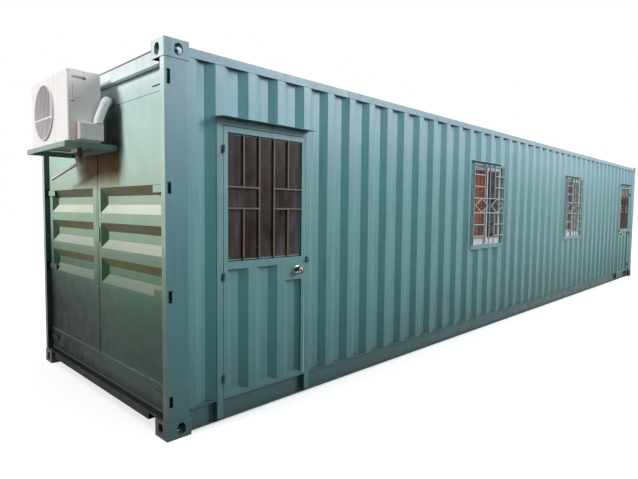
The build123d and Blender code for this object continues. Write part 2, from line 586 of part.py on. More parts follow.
# ------------------------------------------------------------------ windows
def window(x0):
    """Steel surround with a flat band outside, two sliding leaves and their panes."""
    x1, z0, z1 = x0 + WINDOW_W, WINDOW_Z0, WINDOW_Z1
    ox0, ox1, oz0, oz1 = x0 + BAND_SIDE, x1 - BAND_SIDE, z0 + BAND_FOOT, z1 - BAND_HEAD
    surround = block(x0, x1, 0, BAND_T, z0, z1)
    surround += block(ox0 - LINER, ox1 + LINER, 0, inner_y0, oz0 - LINER, oz1 + LINER)
    surround -= block(ox0, ox1, -1, inner_y0 + 1, oz0, oz1)
    middle = (ox0 + ox1) / 2
    sash = block(ox0, ox1, OUTER_TRACK, INNER_TRACK + SASH_T, oz0, oz1)
    sash -= block(ox0 + 12, ox1 - 12, 0, inner_y0, oz0 + 14, oz1 - 12)
    panes = []
    for left, right, track in ((ox0, middle + MEETING_W / 2, INNER_TRACK),
                               (middle - MEETING_W / 2, ox1, OUTER_TRACK)):
        gx0 = left + (STILE_W if left == ox0 else MEETING_W)
        gx1 = right - (STILE_W if right == ox1 else MEETING_W)
        gz0, gz1 = oz0 + RAIL_FOOT, oz1 - RAIL_HEAD
        leaf = block(left, right, track, track + SASH_T, oz0 + 4, oz1 - 4)
        sash += leaf - block(gx0, gx1, 0, inner_y0, gz0, gz1)
        panes.append(block(gx0, gx1, track + 7, track + 7 + PANE, gz0, gz1))
    return surround, sash, panes


def bar_between(start, end, y0):
    """A flat bar from one (x, z) point to another."""
    half = GRILLE_BAR / 2
    angle = atan2(end[1] - start[1], end[0] - start[0])
    nx, nz = -sin(angle) * half, cos(angle) * half
    points = [(start[0] + nx, start[1] + nz), (start[0] - nx, start[1] - nz),
              (end[0] - nx, end[1] - nz), (end[0] + nx, end[1] + nz)]
    plane = Plane(origin=(0, y0 + GRILLE_BAR, 0), x_dir=(1, 0, 0), z_dir=(0, -1, 0))
    return extrude(plane * make_face(Polyline(*points, close=True)), GRILLE_BAR)


def window_grille(x0):
    """Barred guard standing off the wall, with a diamond in each half of its middle belt."""
    y0, y1 = GRILLE_Y, GRILLE_Y + GRILLE_BAR
    half = GRILLE_BAR / 2
    middle = x0 + WINDOW_W / 2
    bottom, top = WINDOW_Z0 + 54, WINDOW_Z1 - 12
    belt_z0, belt_z1 = GRILLE_Z[2], GRILLE_Z[3]

    def across(a, b, z):
        return block(middle + a, middle + b, y0, y1, z - half, z + half)

    def upright(x, z0, z1):
        return block(middle + x - half, middle + x + half, y0, y1, z0, z1)

    grille = upright(0, bottom, top)
    grille += across(-GRILLE_HALF, GRILLE_HALF, belt_z0) + across(-GRILLE_HALF, GRILLE_HALF, belt_z1)
    for side in (-1, 1):
        grille += upright(side * GRILLE_EDGE, bottom, top)
        grille += upright(side * GRILLE_INNER, bottom, belt_z0) + upright(side * GRILLE_INNER, belt_z1, top)
        inner, outer = side * GRILLE_INNER, side * GRILLE_HALF
        for z in (GRILLE_Z[0], GRILLE_Z[1], GRILLE_Z[4], GRILLE_Z[5]):
            grille += across(min(inner, outer), max(inner, outer), z)
            foot = (min(outer, outer - side * GRILLE_BAR), max(outer, outer - side * GRILLE_BAR))
            grille += block(middle + foot[0], middle + foot[1], y0, 0, z - half, z + half)
        centre, mid_z = middle + side * DIAMOND_X, (belt_z0 + belt_z1) / 2
        for sx in (-1, 1):
            for tip_z in (belt_z0, belt_z1):
                grille += bar_between((centre + sx * DIAMOND_REACH, mid_z), (centre, tip_z), y0)
    return grille


for number, x in enumerate(WINDOW_X, 1):
    surround, sash, panes = window(x)
    save(f"window_{number}_frame", surround)
    save(f"window_{number}_sash", sash)
    save(f"window_{number}_glass", *panes)
    save(f"window_{number}_grille", window_grille(x))

ROD_Y, ROD_Z = inner_y0 + 40, WINDOW_Z1 + 60
for number, x in enumerate(WINDOW_X, 1):
    y0 = ROD_Y - 16
    save(f"window_{number}_curtain", block(x - 20, x + WINDOW_W + 20, y0, y0 + 32, 1000, ROD_Z - 14))
rails = []
for x in WINDOW_X:
    rail = rod((x - 120, ROD_Y, ROD_Z), (x + WINDOW_W + 120, ROD_Y, ROD_Z), 9)
    for end in (x - 100, x + WINDOW_W + 100):
        rail += block(end - 6, end + 6, inner_y0, ROD_Y, ROD_Z - 6, ROD_Z + 6)
    rails.append(rail)
save("curtain_rods", *rails)


# ------------------------------------------------------------------ outdoor unit
def shelf():
    """Welded angle-iron frame with flat slats across it."""
    x0, x1, y0, y1, z = -SHELF_OUT, LEAF_FACE - BAND_OUT, SHELF_Y0, SHELF_Y1, SHELF_Z
    a, t = ANGLE, ANGLE_WALL
    frame = block(x0, x0 + t, y0, y1, z - a, z) + block(x0, x0 + a, y0, y1, z - t, z)
    frame += block(x1 - t, x1, y0, y1, z - a, z) + block(x1 - a, x1, y0, y1, z - t, z)
    for y in (y0, y1 - t):
        frame += block(x0, x1, y, y + t, z - a, z)
    for y in (y0, y1 - a):
        frame += block(x0, x1, y, y + a, z - t, z)
    for y in SLAT_Y:
        frame += block(x0, x1, y, y + SLAT_W, z - 2 * t, z - t + 1)
    return frame


def side_slot(x, z, long, high, deep):
    """A round-ended sinking in the side of the outdoor unit."""
    plane = Plane(origin=(x, AC_Y0, z), x_dir=(1, 0, 0), z_dir=(0, 1, 0))
    return extrude(plane * SlotOverall(long, high), deep)


def ac_unit():
    """Cased outdoor unit on two feet, open in front of its fan, with a moulded ring round it."""
    x0, x1, y0, y1 = AC_X0, AC_X0 + AC_DEPTH, AC_Y0, AC_Y0 + AC_W
    case = block(x0, x1, y0, y1, AC_Z0, AC_Z0 + AC_H)
    case = fillet(case.edges().filter_by(Axis.Z), 14)
    case = fillet(case.faces().sort_by(Axis.Z)[-1].edges(), 6)
    case += rod((x0 - 5, FAN_Y, FAN_Z), (x0 + 2, FAN_Y, FAN_Z), FAN_R + 20)
    case -= rod((x0 - 6, FAN_Y, FAN_Z), (x0 + 150, FAN_Y, FAN_Z), FAN_R + 12)
    case -= side_slot(-216, 2434, 96, 22, 16) + side_slot(-262, 2268, 28, 11, 8)
    case += block(-258, -205, AC_Y0 - 2, AC_Y0 + 4, 2292, 2392)
    for y in (y0 + 120, y1 - 160):
        case += block(x0 - 10, x1 + 10, y, y + 40, SHELF_Z, AC_Z0)
    return case


def fan():
    """Three broad pitched blades on a domed hub."""
    x = AC_X0 + 60
    rotor = rod((x - 10, FAN_Y, FAN_Z), (x + 50, FAN_Y, FAN_Z), 42)
    blade = Pos(0, 0, (FAN_R + 30) / 2) * Rot(0, 0, 25) * Box(8, 120, FAN_R - 34)
    for turn in (0, 120, 240):
        rotor += Pos(x + 20, FAN_Y, FAN_Z) * Rot(turn, 0, 0) * blade
    return rotor


def fan_guard():
    """Round guard: a rim, upright bars, one bar across them and four feet."""
    x0, x1 = AC_X0 - 12, AC_X0 - 8
    rim = FAN_R + 16
    guard = rod((x0, FAN_Y, FAN_Z), (x1, FAN_Y, FAN_Z), rim)
    guard -= rod((x0 - 1, FAN_Y, FAN_Z), (x1 + 1, FAN_Y, FAN_Z), rim - 6)
    for i in range(-GUARD_BARS, GUARD_BARS + 1):
        y = i * GUARD_STEP
        reach = (rim**2 - y**2) ** 0.5 - 3
        guard += block(x0, x1, FAN_Y + y - 3, FAN_Y + y + 3, FAN_Z - reach, FAN_Z + reach)
    across = (rim**2 - GUARD_CROSS**2) ** 0.5 - 3
    guard += block(x0, x1, FAN_Y - across, FAN_Y + across, FAN_Z - GUARD_CROSS - 4, FAN_Z - GUARD_CROSS + 4)
    for angle in (pi / 4, 3 * pi / 4, 5 * pi / 4, 7 * pi / 4):
        y, z = FAN_Y + (rim - 3) * cos(angle), FAN_Z + (rim - 3) * sin(angle)
        guard += rod((x1 - 1, y, z), (AC_X0 - 5, y, z), 3)
    return guard


GUARD_BARS, GUARD_STEP, GUARD_CROSS = 6, 31.0, 50.0
save("ac_shelf", shelf())
save("ac_body", ac_unit())
save("ac_fan", fan())
save("ac_fan_guard", fan_guard())
cover = block(AC_X0 + 60, AC_X0 + AC_DEPTH - 5, AC_Y0 - 55, AC_Y0, AC_Z0 + 8, AC_Z0 + 130)
cover = fillet(cover.faces().sort_by(Axis.Y)[0].edges(), 8)
save("ac_valve_cover", cover)
PIPE_R, PIPE_Y = 32.0, AC_Y0 - 34
pipe_path = FilletPolyline((-98, PIPE_Y, AC_Z0 + 130), (-98, PIPE_Y, AC_Z0 + 158), (-42, PIPE_Y, 2298),
                           (80, 985, 2328), radius=[50, 40])
pipe = sweep(Plane(origin=pipe_path @ 0, z_dir=pipe_path % 0) * Circle(PIPE_R), pipe_path)
pipe -= block(LEAF_FACE - BAND_OUT, 140, PIPE_Y, 1100, 2200, 2430)
save("ac_pipes", pipe)

DRAIN_X, DRAIN_Y, DRAIN_R = -100.0, 1150.0, 11.0
elbow = rod((DRAIN_X, DRAIN_Y, AC_Z0), (DRAIN_X, DRAIN_Y, 1856), DRAIN_R + 6)
drain = elbow + rod((DRAIN_X, DRAIN_Y, 1870), (DRAIN_X, 1800, 1764), DRAIN_R)
save("ac_drain", drain)
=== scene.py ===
"""Looks of the shipping container cabin: paint, glass, cloth, wire and fine fittings round the CAD frame.
"""
import json
import math
import random

import bmesh
import bpy
from mathutils import Matrix, Vector


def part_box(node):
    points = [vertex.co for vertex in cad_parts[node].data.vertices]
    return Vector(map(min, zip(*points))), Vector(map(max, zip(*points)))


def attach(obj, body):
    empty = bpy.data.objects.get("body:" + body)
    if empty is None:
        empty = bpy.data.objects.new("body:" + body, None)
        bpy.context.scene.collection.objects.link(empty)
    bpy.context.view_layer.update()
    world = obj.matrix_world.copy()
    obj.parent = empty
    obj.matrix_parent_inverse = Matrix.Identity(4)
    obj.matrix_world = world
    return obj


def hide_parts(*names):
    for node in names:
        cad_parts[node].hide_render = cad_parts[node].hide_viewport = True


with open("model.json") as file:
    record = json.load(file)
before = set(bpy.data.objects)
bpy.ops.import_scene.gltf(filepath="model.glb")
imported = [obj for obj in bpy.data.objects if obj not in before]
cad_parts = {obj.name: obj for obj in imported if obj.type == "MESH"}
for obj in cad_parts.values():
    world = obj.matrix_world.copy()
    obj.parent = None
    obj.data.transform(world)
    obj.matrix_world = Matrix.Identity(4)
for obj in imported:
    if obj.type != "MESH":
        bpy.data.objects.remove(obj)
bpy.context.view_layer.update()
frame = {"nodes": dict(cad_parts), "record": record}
NODES = frame["nodes"]
SCENE = bpy.context.scene
SCENE.view_settings.view_transform = "Standard"
MM = 0.001


# ------------------------------------------------------------------ reference places
FOOT_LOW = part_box("bottom_corner_castings")[0]
DOOR_END_X = FOOT_LOW.x          # outer face of the cargo-door end
FRONT_Y = FOOT_LOW.y             # outer face of the front castings
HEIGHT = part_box("top_corner_castings")[1].z


def place(x, y, z):
    """A point given in metres from the front corner of the cargo-door end."""
    return Vector((DOOR_END_X + x, FRONT_Y + y, z))


def along(x):
    """X in the shared frame of a place x metres from the cargo-door end."""
    return place(x, 0, 0).x


# ------------------------------------------------------------------ camera
EYE = place(-1.5221, -2.85928, 1.52621)
YAW, PITCH, ROLL = 0.776238, -0.0617657, 0.00995446      # radians
SENSOR, LENS = 36.0, 27.565                              # millimetres
NEAR_CLIP, FAR_CLIP = 0.05, 200.0


def camera():
    """The photograph's viewpoint and lens."""
    forward = Vector((math.cos(YAW) * math.cos(PITCH), math.sin(YAW) * math.cos(PITCH), math.sin(PITCH)))
    right = Vector((math.sin(YAW), -math.cos(YAW), 0.0))
    up = right.cross(forward)
    turned_right = math.cos(ROLL) * right + math.sin(ROLL) * up
    turned_up = -math.sin(ROLL) * right + math.cos(ROLL) * up
    data = bpy.data.cameras.new("camera")
    data.sensor_width, data.lens = SENSOR, LENS
    data.clip_start, data.clip_end = NEAR_CLIP, FAR_CLIP
    cam = bpy.data.objects.new("camera", data)
    SCENE.collection.objects.link(cam)
    basis = Matrix((turned_right, turned_up, -forward)).transposed()
    cam.matrix_world = Matrix.Translation(EYE) @ basis.to_4x4()
    SCENE.camera = cam


camera()


# ------------------------------------------------------------------ node helpers
SHADER_SAMPLES = 4       # rays of each ambient occlusion and bevel node


def rgb(red, green, blue):
    """A display colour (0 to 255) as Blender's linear colour."""
    def linear(level):
        level /= 255
        return level / 12.92 if level <= 0.04045 else ((level + 0.055) / 1.055) ** 2.4
    return (linear(red), linear(green), linear(blue), 1.0)


def set_inputs(node, **values):
    """Give plain values to a node's inputs; an underscore in a name stands for a space."""
    for name, value in values.items():
        node.inputs[name.replace("_", " ")].default_value = value


class Finish:
    """A node-based material, with short ways to add and join its nodes."""

    def __init__(self, name, **values):
        self.material = bpy.data.materials.new(name)
        self.material.use_nodes = True
        self.tree = self.material.node_tree
        self.shader = self.tree.nodes["Principled BSDF"]
        set_inputs(self.shader, **values)

    def feed(self, socket, source):
        """Link a node's output to the shader's socket."""
        self.join(self.shader.inputs[socket], source)

    def join(self, target, source):
        """Give an input a node's output or a plain value."""
        if isinstance(source, bpy.types.NodeSocket):
            self.tree.links.new(source, target)
        else:
            target.default_value = source

    def node(self, kind, **settings):
        """A new shader node, with its own settings."""
        made = self.tree.nodes.new("ShaderNode" + kind)
        for name, value in settings.items():
            setattr(made, name, value)
        return made

    def where(self, stretch=(1, 1, 1)):
        """Places on the piece, in metres times stretch."""
        mapping = self.node("Mapping")
        self.join(mapping.inputs["Vector"], self.node("TexCoord").outputs["Object"])
        set_inputs(mapping, Scale=stretch)
        return mapping.outputs["Vector"]

    def split(self, output, letter):
        """X, Y or Z of an output of the Texture Coordinate node."""
        parts = self.node("SeparateXYZ")
        self.join(parts.inputs["Vector"], self.node("TexCoord").outputs[output])
        return parts.outputs[letter]

    def axis(self, letter):
        """X, Y or Z of the place on the piece, in metres."""
        return self.split("Object", letter)

    def facing(self, letter):
        """How far the surface looks along X, Y or Z, from -1 to 1."""
        return self.split("Normal", letter)

    def by_height(self, z, stops):
        """Colour by height; stops are (height in metres, colour) pairs."""
        return self.ramp(self.maths("DIVIDE", z, HEIGHT), [(at / HEIGHT, colour) for at, colour in stops])

    def crevice(self, reach):
        """1 in tight corners and holes, 0 in the open."""
        shade = self.node("AmbientOcclusion", samples=SHADER_SAMPLES)
        set_inputs(shade, Distance=reach)
        return self.spread(shade.outputs["AO"], 0.62, 0.18)

    def noise(self, scale, stretch=(1, 1, 1), detail=4.0, rough=0.55, warp=0.0):
        made = self.node("TexNoise")
        self.join(made.inputs["Vector"], self.where(stretch))
        set_inputs(made, Scale=scale, Detail=detail, Roughness=rough, Distortion=warp)
        return made.outputs["Fac"]

    def wave(self, scale, direction, warp):
        made = self.node("TexWave", bands_direction=direction)
        self.join(made.inputs["Vector"], self.where())
        set_inputs(made, Scale=scale, Distortion=warp)
        return made.outputs["Fac"]

    def spread(self, value, low, high, to_low=0.0, to_high=1.0):
        """Stretch the range low..high to to_low..to_high, held at its ends."""
        made = self.node("MapRange")
        for name, source in (("Value", value), ("From Min", low), ("From Max", high),
                             ("To Min", to_low), ("To Max", to_high)):
            self.join(made.inputs[name], source)
        return made.outputs["Result"]

    def maths(self, operation, first, second=0.0):
        made = self.node("Math", operation=operation)
        self.join(made.inputs[0], first)
        self.join(made.inputs[1], second)
        return made.outputs["Value"]

    def times(self, first, second):
        """Where both masks hold, or a mask weakened by a share."""
        return self.maths("MULTIPLY", first, second)

    def mix(self, share, first, second, mode="MIX"):
        made = self.node("Mix", data_type="RGBA", blend_type=mode)
        self.join(made.inputs["Factor"], share)
        self.join(made.inputs[6], first)
        self.join(made.inputs[7], second)
        return made.outputs[2]

    def ramp(self, value, stops):
        """Colour by value; stops are (position, colour) pairs."""
        made = self.node("ValToRGB")
        self.join(made.inputs["Fac"], value)
        points = made.color_ramp.elements
        while len(points) < len(stops):
            points.new(0.5)
        for point, (position, colour) in zip(points, stops):
            point.position = position
            point.color = colour
        return made.outputs["Color"]

    def bump(self, height, distance, strength, over=None):
        made = self.node("Bump")
        set_inputs(made, Strength=strength, Distance=distance)
        self.join(made.inputs["Height"], height)
        if over is not None:
            self.join(made.inputs["Normal"], over)
        return made.outputs["Normal"]

    def soft_edge(self, radius):
        """Normals rounded at edges, as paint and rolled steel have them."""
        made = self.node("Bevel", samples=SHADER_SAMPLES)
        set_inputs(made, Radius=radius)
        return made.outputs["Normal"]

    def edge_mask(self, radius):
        """Near 1 on edges, 0 on flats."""
        dot = self.node("VectorMath", operation="DOT_PRODUCT")
        self.join(dot.inputs[0], self.soft_edge(radius))
        self.join(dot.inputs[1], self.node("NewGeometry").outputs["Normal"])
        return self.spread(dot.outputs["Value"], 0.98, 0.75)


# ------------------------------------------------------------------ paint colours
# Tones by height in metres: darker towards the bottom and paler towards the top, partly dirt and bleached paint,
# partly painted shade low down and painted light high up.
SIDE_TONES = [(0.10, rgb(67, 106, 107)), (0.30, rgb(74, 115, 117)), (0.70, rgb(87, 131, 131)),
              (1.10, rgb(101, 145, 147)), (1.50, rgb(111, 156, 159)), (1.90, rgb(123, 166, 171)),
              (2.25, rgb(146, 183, 192)), (2.50, rgb(156, 190, 202))]
FRAME_TONES = [(0.05, rgb(48, 82, 86)), (0.30, rgb(64, 106, 109)), (0.70, rgb(73, 116, 119)),
               (1.10, rgb(83, 127, 132)), (1.50, rgb(98, 142, 150)), (1.90, rgb(115, 156, 166)),
               (2.25, rgb(138, 171, 184)), (2.50, rgb(150, 180, 192))]
# The cargo-door end's tones: the wall's paint with painted light, near white at the top as painted light and sky
# reflection, and painted shade with some dirt down to near black at the foot.
END_LIT_TONES = [(0.06, rgb(16, 17, 17)), (0.14, rgb(22, 24, 24)), (0.24, rgb(50, 60, 55)),
             (0.42, rgb(42, 54, 48)), (0.70, rgb(50, 67, 57)), (0.86, rgb(60, 82, 70)),
             (1.00, rgb(86, 108, 91)), (1.16, rgb(104, 124, 106)), (1.28, rgb(133, 153, 132)),
             (1.44, rgb(148, 169, 150)), (1.72, rgb(171, 191, 175)), (1.90, rgb(183, 205, 196)),
             (2.25, rgb(190, 213, 209)), (2.36, rgb(209, 228, 229)), (2.44, rgb(230, 243, 243)),
             (2.52, rgb(226, 234, 238))]
# dust and painted light from above on the upward slopes of the cargo doors, paler the higher they are
DUST_AND_TOP_LIGHT_TONES = [(0.90, rgb(104, 114, 100)), (1.25, rgb(172, 177, 168)), (1.60, rgb(222, 221, 214)),
              (1.90, rgb(236, 230, 228))]                 # on upward slopes of the cargo doors
# painted light: far slopes that face the cargo doors are lightened
FAR_SLOPE_LIGHT_TONES = [(0.3, rgb(110, 152, 146)), (2.3, rgb(178, 208, 206))]      # far slopes that face the cargo doors
# painted shade on the side of the back post that faces the front
RECESS_TONES = [(0.7, rgb(22, 28, 26)), (1.5, rgb(24, 44, 40)),
                (1.9, rgb(34, 60, 66))]                   # side of the back post that faces the front
UNDERBODY_TONES = [(0.0, rgb(34, 38, 38)), (0.2, rgb(48, 52, 52))]
SHELF_TONES = [(1.9, rgb(96, 134, 126)), (2.0, rgb(110, 150, 140))]
# painted light: the shelf's faces that look out of the cargo-door end are paler
SHELF_LIT_END_TONES = [(1.9, rgb(124, 146, 134)), (2.0, rgb(150, 170, 160))]
BLEACH = rgb(176, 205, 204)
MOTTLE = rgb(58, 92, 92)
RAIN_RUN = rgb(66, 84, 80)
ROAD_DUST = rgb(74, 76, 66)
# undersides: painted shade, and on the shelf dirt as well
UNDERSIDE_SHADE = rgb(30, 32, 24)
SHELF_UNDERSIDE_DIRT_AND_SHADE = rgb(96, 80, 60)
BARE_EDGE = rgb(226, 236, 236)
CORNER_DIRT_AND_SHADE = rgb(22, 30, 30)
RUST = rgb(96, 58, 36)
LOW_BACK_DARK = rgb(20, 22, 21)
DOWNWARD_SHADE = rgb(76, 72, 40)
SIDE_SHADE = rgb(26, 58, 38)
BAND_EDGE_HIGHLIGHT = rgb(110, 120, 112)
HEADER_EDGE = rgb(84, 80, 92)
BROWN_WASH = rgb(112, 80, 27)
SHADOW_BEHIND_UNIT = rgb(18, 32, 46)
# painted shade: these two darken near slopes that face the cargo doors and the far end of the wall
NEAR_SLOPE_SHADE, FAR_WALL_SHADE = rgb(194, 248, 243), rgb(233, 248, 250)                 # these two multiply the paint
CHALK_LOW, CHALK_HIGH, PUDDLE = rgb(112, 146, 142), rgb(148, 158, 148), rgb(106, 106, 90)
FAR_RAIL_DARK = rgb(62, 66, 60)

# How far faces look along an axis: each mask goes from nothing at the first value to full at the second.
OUT_OF_END, TOWARDS_END = (-0.55, -0.8), (-0.25, -0.5)                        # along X, squarely and on a slope
UP, PARTLY_UP = (0.5, 0.8), (0.2, 0.4)
DOWN, PARTLY_DOWN = (-0.6, -0.9), (-0.2, -0.4)
TO_FRONT, PARTLY_TO_FRONT = (-0.6, -0.9), (-0.2, -0.4)

# Where the paint changes, in the same way.
DUSTY_Z, RUSTY_Z = (0.75, 0.05), (1.4, 0.1)
LOW_BACK_Y, LOW_BACK_Z = (-0.3, 0.8), (1.2, 0.6)              # low on the back half of the cargo doors
DUST_AND_LIGHT_SLOPES_Z = (0.80, 0.92)
BELOW_HEADER_Z, HEADER_RIM_Z = (2.38, 2.30), (2.521, 2.526)
HIGHLIGHT_BANDS = ((0.326, 0.340), (0.141, 0.154))           # edges of the cargo doors' lower band, painted paler as a highlight
WASHED_Z = (1.64, 1.80)
RECESS_Y = (0.9, 1.0)
NEAR_X, MIDDLE_X = along(3.0), along(7.5)
FAR_X = (along(8.0), along(10.5))
FAR_RAIL_X = (along(6.0), along(11.0))
RAIL_Z, ROOF_Z = (0.20, 0.17), (2.4, 2.45)


# ------------------------------------------------------------------ materials
def below_shelf_wash_and_shadow(f, tone):
    """Brown wash on the cargo doors below the outdoor unit's shelf, and a painted shadow behind the unit."""
    shelf_low, shelf_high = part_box("ac_shelf")
    ragged = f.times(f.maths("SUBTRACT", f.noise(9.0, stretch=(1, 1, 0.4)), 0.5), 0.10)
    y = f.maths("ADD", f.axis("Y"), ragged)
    z = f.maths("ADD", f.axis("Z"), ragged)
    # a brown wash on the doors below the shelf
    right, left = shelf_low.y - 0.05, shelf_high.y - 0.15
    across = f.times(f.spread(y, right - 0.03, right + 0.05), f.spread(y, left + 0.10, left - 0.10))
    down = f.times(f.spread(z, *WASHED_Z), f.spread(z, shelf_low.z + 0.12, shelf_low.z + 0.04))
    tone = f.mix(f.times(across, down), tone, BROWN_WASH)
    # painted shadow on the cargo doors behind the unit
    sideways = f.times(f.spread(y, shelf_low.y - 0.12, shelf_low.y - 0.02),
                       f.spread(y, shelf_low.y + 0.42, shelf_low.y + 0.2))
    upwards = f.times(f.spread(z, shelf_high.z - 0.1, shelf_high.z),
                      f.spread(z, shelf_high.z + 0.42, shelf_high.z + 0.2))
    return f.mix(f.times(f.times(sideways, upwards), 0.85), tone, SHADOW_BEHIND_UNIT)


def end_wear_and_light(f, tone, z):
    """Cargo doors: darker low on the back half, dust and painted light on the slopes that look up, painted shade
    on those that look down and on faces that look to the front, painted highlights on the lower band's edges, a
    dark line on the header's rim.
    """
    # darker low on the back half of the cargo doors
    dark_low_back = f.times(f.spread(f.axis("Y"), *LOW_BACK_Y), f.spread(z, *LOW_BACK_Z, 0.0, 0.85))
    tone = f.mix(dark_low_back, tone, LOW_BACK_DARK)
    # dust and painted light from above on slopes that look up
    dust_and_top_light = f.times(f.spread(f.facing("Z"), *PARTLY_UP, 0.0, 0.8), f.spread(z, *DUST_AND_LIGHT_SLOPES_Z))
    tone = f.mix(dust_and_top_light, tone, f.by_height(z, DUST_AND_TOP_LIGHT_TONES))
    # painted shade on faces that look down, below the header
    shaded_down = f.times(f.spread(f.facing("Z"), *PARTLY_DOWN), f.spread(z, *BELOW_HEADER_Z, 0.0, 0.9))
    tone = f.mix(shaded_down, tone, DOWNWARD_SHADE)
    tone = f.mix(f.spread(f.facing("Y"), *PARTLY_TO_FRONT, 0.0, 0.9), tone, SIDE_SHADE)
    # painted highlight along the edges of the lower band
    for low, high in HIGHLIGHT_BANDS:
        band_highlight = f.times(f.spread(z, low - 0.004, low + 0.002, 0.0, 0.5),
                         f.spread(z, high + 0.004, high - 0.002, 0.0, 0.5))
        tone = f.mix(band_highlight, tone, BAND_EDGE_HIGHLIGHT)
    tone = f.mix(f.spread(z, *HEADER_RIM_Z, 0.0, 0.85), tone, HEADER_EDGE)
    return below_shelf_wash_and_shadow(f, tone)


def side_wear_and_light(f, tone, z):
    """Corrugated walls and roof: painted shade and light on the slopes by distance from the cargo-door end,
    painted shade on the far wall, a chalky roof with puddles.
    """
    slopes = f.spread(f.facing("X"), *TOWARDS_END)
    # painted shade on near slopes, painted light on far slopes, painted shade on the far wall
    near_slope_shade = f.times(slopes, f.spread(f.axis("X"), MIDDLE_X, NEAR_X, 0.0, 0.85))
    tone = f.mix(near_slope_shade, tone, NEAR_SLOPE_SHADE, "MULTIPLY")
    far_slope_light = f.times(slopes, f.spread(f.axis("X"), NEAR_X, MIDDLE_X, 0.0, 0.55))
    tone = f.mix(far_slope_light, tone, f.by_height(z, FAR_SLOPE_LIGHT_TONES))
    tone = f.mix(f.spread(f.axis("X"), *FAR_X), tone, FAR_WALL_SHADE, "MULTIPLY")
    on_roof = f.times(f.spread(f.facing("Z"), *UP), f.spread(z, *ROOF_Z))
    chalked = f.mix(f.spread(f.noise(2.3, detail=7, rough=0.7), 0.38, 0.66), CHALK_LOW, CHALK_HIGH)
    puddles = f.spread(f.noise(0.9, stretch=(1, 0.4, 1), detail=5), 0.52, 0.62, 0.0, 0.6)
    chalked = f.mix(puddles, chalked, PUDDLE)
    return f.mix(f.times(on_roof, 0.85), tone, chalked)


def frame_marks_and_shade(f, tone, z):
    """Frame: darker towards the far end of the bottom rail, painted shade in the recess beside the back post."""
    # darker towards the far end of the bottom rail
    far_rail_dark = f.times(f.spread(f.axis("X"), *FAR_RAIL_X, 0.0, 0.45), f.spread(z, *RAIL_Z))
    tone = f.mix(far_rail_dark, tone, FAR_RAIL_DARK)
    # painted shade in the recess beside the back post
    recess = f.times(f.spread(f.facing("Y"), *TO_FRONT, 0.0, 0.9), f.spread(f.axis("Y"), *RECESS_Y))
    return f.mix(recess, tone, f.by_height(z, RECESS_TONES))


def enamel(name, tones, lit_end_tones=None, rough=0.36, wear=0.5, grime=0.5, rust=0.3, streak=0.35, dents=1 * MM,
           under=0.5, underside_colour=UNDERSIDE_SHADE):
    """Sprayed enamel on steel: paler above and darker below, partly bleach and dirt and partly painted light and
    shade, chipped on edges, with dirt and painted shade in its corners and painted shade under it.

    The end's tones, when given, go on faces that look out of the cargo-door end: painted light, paler and
    greener there. Undersides take the underside colour by the share under: painted shade, and on the shelf also
    dirt.
    """
    f = Finish(name, Specular_IOR_Level=0.06 if tones is END_LIT_TONES else 0.3)
    z = f.axis("Z")
    tone = f.by_height(z, tones)
    # painted light: faces that look out of the cargo-door end take the end's paler tones
    if lit_end_tones:
        tone = f.mix(f.spread(f.facing("X"), *OUT_OF_END), tone, f.by_height(z, lit_end_tones))
    patches = f.spread(f.noise(1.1, detail=5), 0.38, 0.66, 0.0, 0.12)
    tone = f.mix(patches, tone, BLEACH, "SOFT_LIGHT")
    mottling = f.spread(f.noise(6.0, detail=6, rough=0.65), 0.4, 0.7, 0.0, 0.10)
    tone = f.mix(mottling, tone, MOTTLE)
    runs = f.spread(f.noise(16.0, stretch=(1, 1, 0.07), detail=3), 0.54, 0.72)
    runs = f.times(runs, f.spread(f.noise(1.7, detail=2), 0.42, 0.62, 0.0, streak))
    tone = f.mix(runs, tone, RAIN_RUN)
    dust = f.times(f.spread(z, *DUSTY_Z), f.spread(f.noise(5.0, detail=6, rough=0.7), 0.3, 0.75))
    soiling = f.times(dust, grime)
    if tones is FRAME_TONES:
        soiling = f.times(soiling, f.spread(f.facing("X"), -0.8, -0.55, 0.3, 1.0))
    tone = f.mix(soiling, tone, ROAD_DUST)
    if tones is END_LIT_TONES:
        tone = end_wear_and_light(f, tone, z)
    # painted shade on undersides, with dirt on the shelf's
    if under:
        tone = f.mix(f.spread(f.facing("Z"), *DOWN, 0.0, under), tone, underside_colour)
    if tones is SIDE_TONES:
        tone = side_wear_and_light(f, tone, z)
    if tones is FRAME_TONES:
        tone = frame_marks_and_shade(f, tone, z)
    chips = f.times(f.edge_mask(3 * MM), f.spread(f.noise(22.0, detail=6, rough=0.7), 0.46, 0.6))
    tone = f.mix(f.times(chips, wear), tone, f.mix(0.5, tone, BARE_EDGE))
    # dirt and painted shade in corners, holes and gaps
    tone = f.mix(f.times(f.crevice(0.03), 0.55), tone, CORNER_DIRT_AND_SHADE)
    spots = f.spread(f.noise(34.0, detail=5, rough=0.75), 0.71, 0.76)
    spots = f.times(spots, f.spread(z, *RUSTY_Z, 0.05 * rust, rust))
    tone = f.mix(spots, tone, RUST)
    f.feed("Base Color", tone)
    gloss = f.spread(f.noise(9.0, detail=5, rough=0.6), 0.3, 0.7, rough - 0.06, rough + 0.10)
    gloss = f.maths("ADD", gloss, f.times(dust, 0.3))
    gloss = f.maths("ADD", gloss, f.spread(f.facing("Z"), *UP, 0.0, 0.3))
    f.feed("Roughness", f.maths("ADD", gloss, f.times(spots, 0.35)))
    dented = f.bump(f.noise(3.2, detail=2), dents, 0.4, over=f.soft_edge(2.5 * MM))
    f.feed("Normal", f.bump(f.noise(260.0, detail=2), 0.3 * MM, 0.35, over=dented))
    return f.material


def add_grain(f, scale=300.0, over=None):
    """The fine texture of a moulded or sprayed surface."""
    f.feed("Normal", f.bump(f.noise(scale, detail=2), 0.2 * MM, 0.3, over=over))


